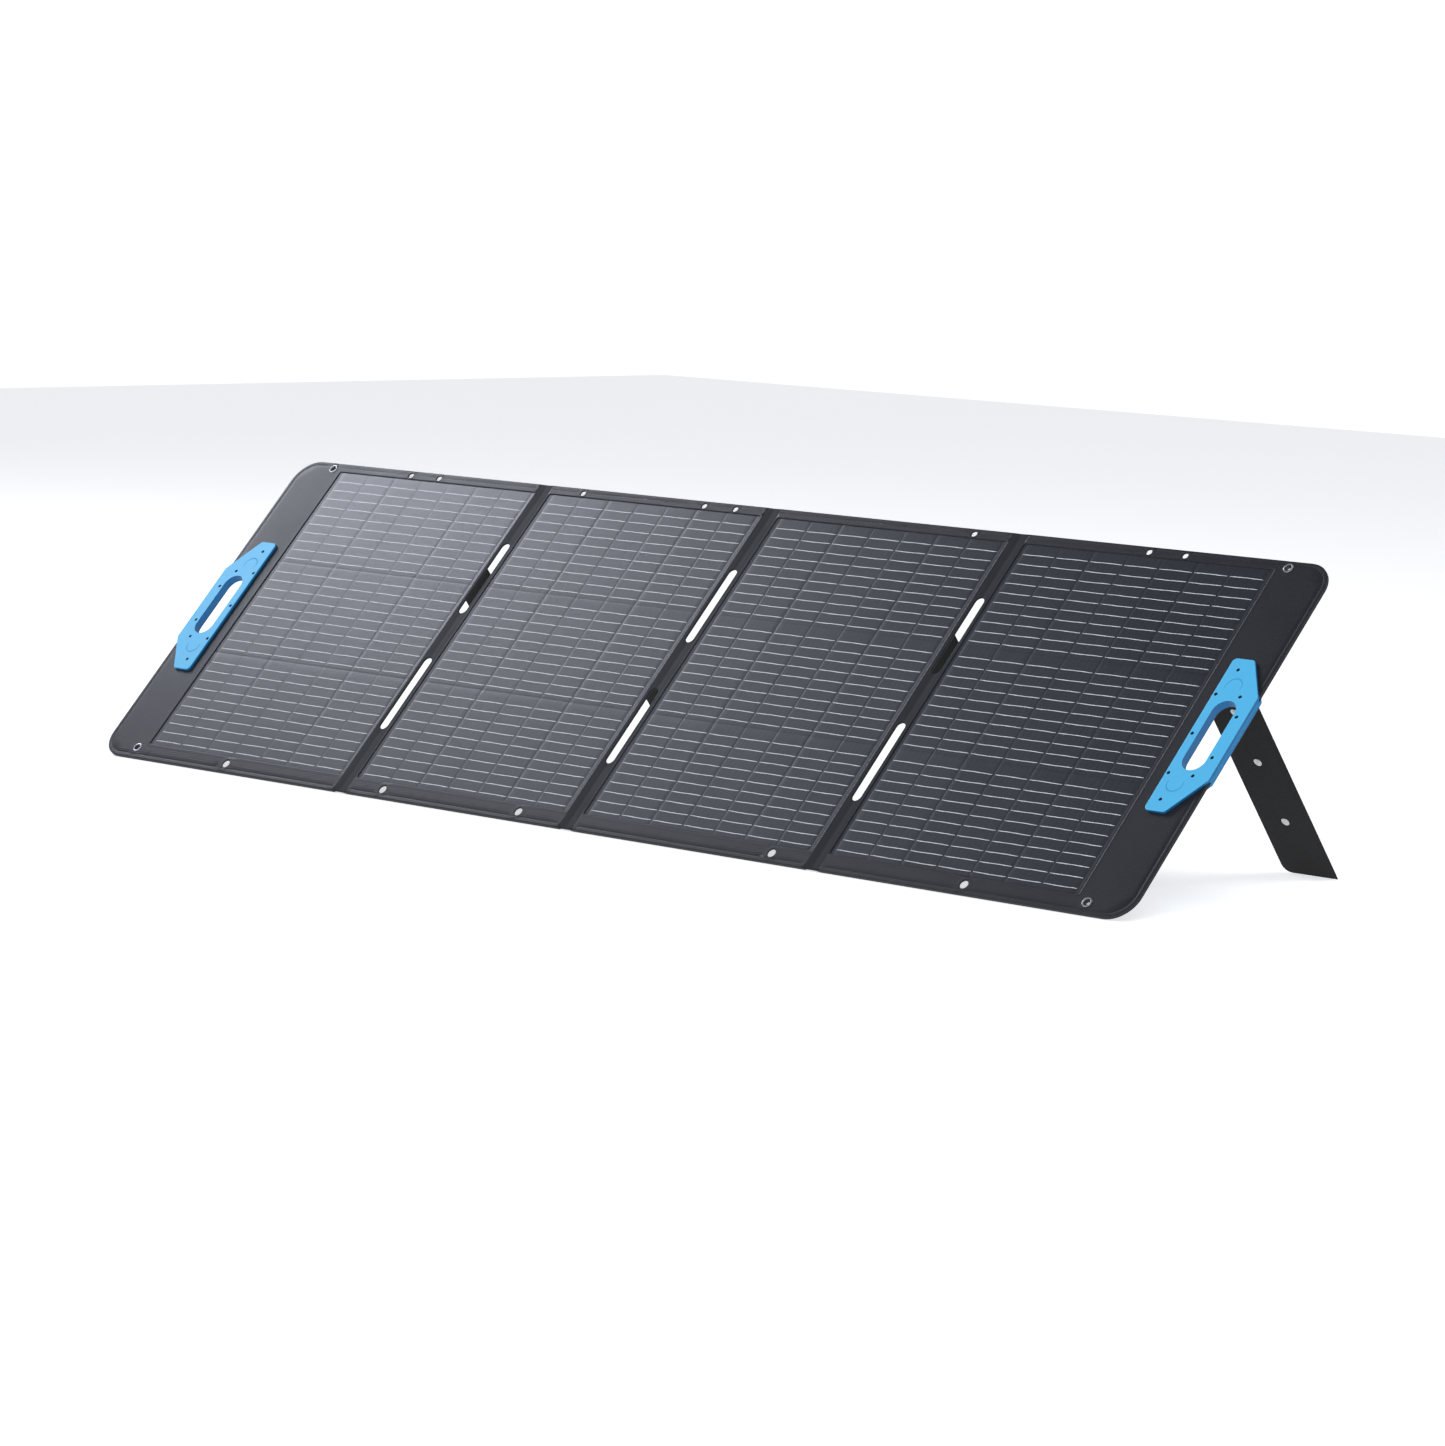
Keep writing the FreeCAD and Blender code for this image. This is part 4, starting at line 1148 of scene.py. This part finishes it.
def build_eyelets(name, side, section):
    """Rolled eyelets of one end, with a dark tube inside each bore that is painted shade."""
    back = -PANEL_THICK
    rim = EYELET_FLANGE - 0.5
    ring = [(5.1, 0.05), (5.3, 0.5), (5.9, 0.85), (6.7, 0.9), (rim, 0.55), (rim + 0.3, 0.1),
            (rim, -0.2), (EYELET_BARREL, -0.3), (EYELET_BARREL, back + 0.3), (rim, back + 0.2),
            (rim + 0.3, back - 0.1), (rim, back - 0.4), (6.6, back - 0.75),
            (5.8, back - 0.8), (5.2, back - 0.5), (5.1, back - 0.05)]
    places = [(side * EYELET_X, v, 0) for v in EYELET_V]
    piece = lathe(ring, places, f"{name}_eyelet_rings", "eyelet", section, count=36)
    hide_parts(f"{name}_eyelets")
    # Painted shade: a dark tube in the blackened screw finish lines each bore, where the hole
    # falls into shade.
    bore_shade_profile = [(EYELET_BORE, 0.0), (4.5, 0.35), (5.1, 0.3), (5.05, back - 0.3),
              (4.5, back - 0.35), (EYELET_BORE, back)]
    lathe(bore_shade_profile, places, f"{name}_eyelet_bore_shade", "screw", section, count=36)


def build_gland():
    """Ribbed cable gland and its sealing nut, standing on the box's lower side."""
    low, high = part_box("cable_gland")
    middle = (low + high) / 2
    reach = (high.x - low.x) / 2 * 1000
    matrix = Matrix.Translation(middle) @ PANEL.to_3x3().to_4x4() @ Matrix.Rotation(
        math.radians(90), 4, "X")
    long = 14.0
    half = long / 2
    # The profile runs from the box (negative end) out to the cable's mouth.
    profile = [(3.5, -half), (3.5, half), (4.4, half), (4.8, half - 0.5)]
    for rib in range(4):
        start = half - 1.2 - rib * 1.6
        profile += [(reach - 1.4, start), (reach - 0.9, start - 0.3), (reach - 0.9, start - 0.9),
                    (reach - 1.4, start - 1.2)]
    profile += [(reach, -half + 5.2), (reach, -half + 2.4), (reach - 0.5, -half + 2.2),
                (reach - 0.5, -half)]
    piece = lathe(profile, [(0, 0, 0)], "cable_gland_ribbed", "gland", "section_1", matrix, 24)
    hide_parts("cable_gland")


for number in (1, 2, 3, 4):
    build_board(number)
    build_front(number)
    build_back(number)
    build_laminate(number)
    build_ribbons(number)
    edge_stitching(number)
    build_leg(number)
build_band(1, -PITCH)
build_band(2, 0)
build_band(3, PITCH)
for name, side, section in (("left", -1, "section_1"), ("right", 1, "section_4")):
    build_handle(name, side, section)
    build_eyelets(name, side, section)
build_gland()

# CAD nodes that stay: each gets its own finish.
FINISHES = [("handle_front", "blue"), ("handle_back", "blue_back"), ("handle_magnets", "magnet"),
            ("_backsheet", "backsheet"), ("_cells", "cell"), ("_core", "core"),
            ("junction_box_lid", "lid"), ("bypass_diodes", "diode"), ("", "box")]
for node_name, node in frame["nodes"].items():
    finish = next(key for ending, key in FINISHES if ending in node_name)
    node.data.materials.clear()
    node.data.materials.append(MATERIALS[finish])

# ---------------------------------------------------------------- floor, light and camera
FLOOR_HALF = 9.0


def build_stage():
    """White sweep: a wide floor that the light fades into."""
    mesh = bpy.data.meshes.new("studio_floor")
    reach = FLOOR_HALF
    mesh.from_pydata([(-reach, -reach, 0), (reach, -reach, 0), (reach, reach, 0),
                      (-reach, reach, 0)], [], [(0, 1, 2, 3)])
    floor = bpy.data.objects.new("studio_floor", mesh)
    bpy.context.scene.collection.objects.link(floor)
    nodes = Nodes("pale_floor")
    cloud = nodes.noise(0.7, 2)
    shades = nodes.ramp(cloud, [(0.2, (0.90, 0.90, 0.90)), (0.8, (0.93, 0.93, 0.93))])
    mesh.materials.append(nodes.finish(shades, 0.9, Specular_IOR_Level=0.1,
                                       Emission_Color=(1, 1, 1, 1), Emission_Strength=0.62))


def add_area(name, place, aim, size, power, tint=(1, 1, 1)):
    light = bpy.data.lights.new(name, "AREA")
    light.shape = "RECTANGLE"
    light.size, light.size_y = size
    light.energy = power
    light.color = tint
    lamp = bpy.data.objects.new(name, light)
    bpy.context.scene.collection.objects.link(lamp)
    lamp.location = place
    lamp.rotation_euler = (Vector(aim) - Vector(place)).to_track_quat("-Z", "Y").to_euler()


def build_world():
    """White horizon that darkens overhead, so that the panel mirrors a dim ceiling."""
    world = bpy.context.scene.world or bpy.data.worlds.new("studio")
    bpy.context.scene.world = world
    world.use_nodes = True
    tree = world.node_tree
    place = tree.nodes.new("ShaderNodeTexCoord")
    split = tree.nodes.new("ShaderNodeSeparateXYZ")
    ramp = tree.nodes.new("ShaderNodeValToRGB")
    ramp.color_ramp.elements[0].position = 0.12
    ramp.color_ramp.elements[0].color = (1, 1, 1, 1)
    ramp.color_ramp.elements[1].position = 0.5
    ramp.color_ramp.elements[1].color = (0.12, 0.13, 0.16, 1)
    tree.links.new(place.outputs["Generated"], split.inputs["Vector"])
    tree.links.new(split.outputs["Z"], ramp.inputs["Fac"])
    tree.links.new(ramp.outputs["Color"], tree.nodes["Background"].inputs["Color"])
    tree.nodes["Background"].inputs["Strength"].default_value = 1.05


build_stage()
build_world()
add_area("soft_mirror_light", (-4.5, 0.3, 3.1), (-1.0, 0.3, 0.3), (1.6, 1.8), 88,
         (0.86, 0.89, 1.0))
add_area("soft_front_light", (3.2, -4.2, 3.6), (0.4, 0, 0.2), (3.0, 3.0), 72)
add_area("soft_top_light", (2.6, 0.8, 4.6), (0.8, 0, 0), (3.0, 3.0), 60)
bpy.context.scene.view_settings.view_transform = "Standard"

CAMERA_AZIMUTH = 43.92
CAMERA_ELEVATION = 6.553
CAMERA_ROLL = 1.8
CAMERA_DISTANCE = 7.8
CAMERA_AIM = Vector((0.0451, -0.0121, 0.1426))
CAMERA_LENS = 134.33


def build_camera():
    azimuth, elevation, roll = (math.radians(angle) for angle in (
        CAMERA_AZIMUTH, CAMERA_ELEVATION, CAMERA_ROLL))
    forward = Vector((-math.sin(azimuth) * math.cos(elevation),
                      math.cos(azimuth) * math.cos(elevation), -math.sin(elevation)))
    level = Vector((math.cos(azimuth), math.sin(azimuth), 0))
    above = level.cross(forward)
    right = level * math.cos(roll) + above * math.sin(roll)
    up = above * math.cos(roll) - level * math.sin(roll)
    camera = bpy.data.objects.new("camera", bpy.data.cameras.new("camera"))
    bpy.context.scene.collection.objects.link(camera)
    matrix = Matrix.Identity(4)
    for column, axis in enumerate((right, up, -forward)):
        for row in range(3):
            matrix[row][column] = axis[row]
    matrix.translation = CAMERA_AIM - forward * CAMERA_DISTANCE
    camera.matrix_world = matrix
    camera.data.lens = CAMERA_LENS
    camera.data.sensor_width = 36
    camera.data.clip_end = 60
    bpy.context.scene.camera = camera


build_camera()
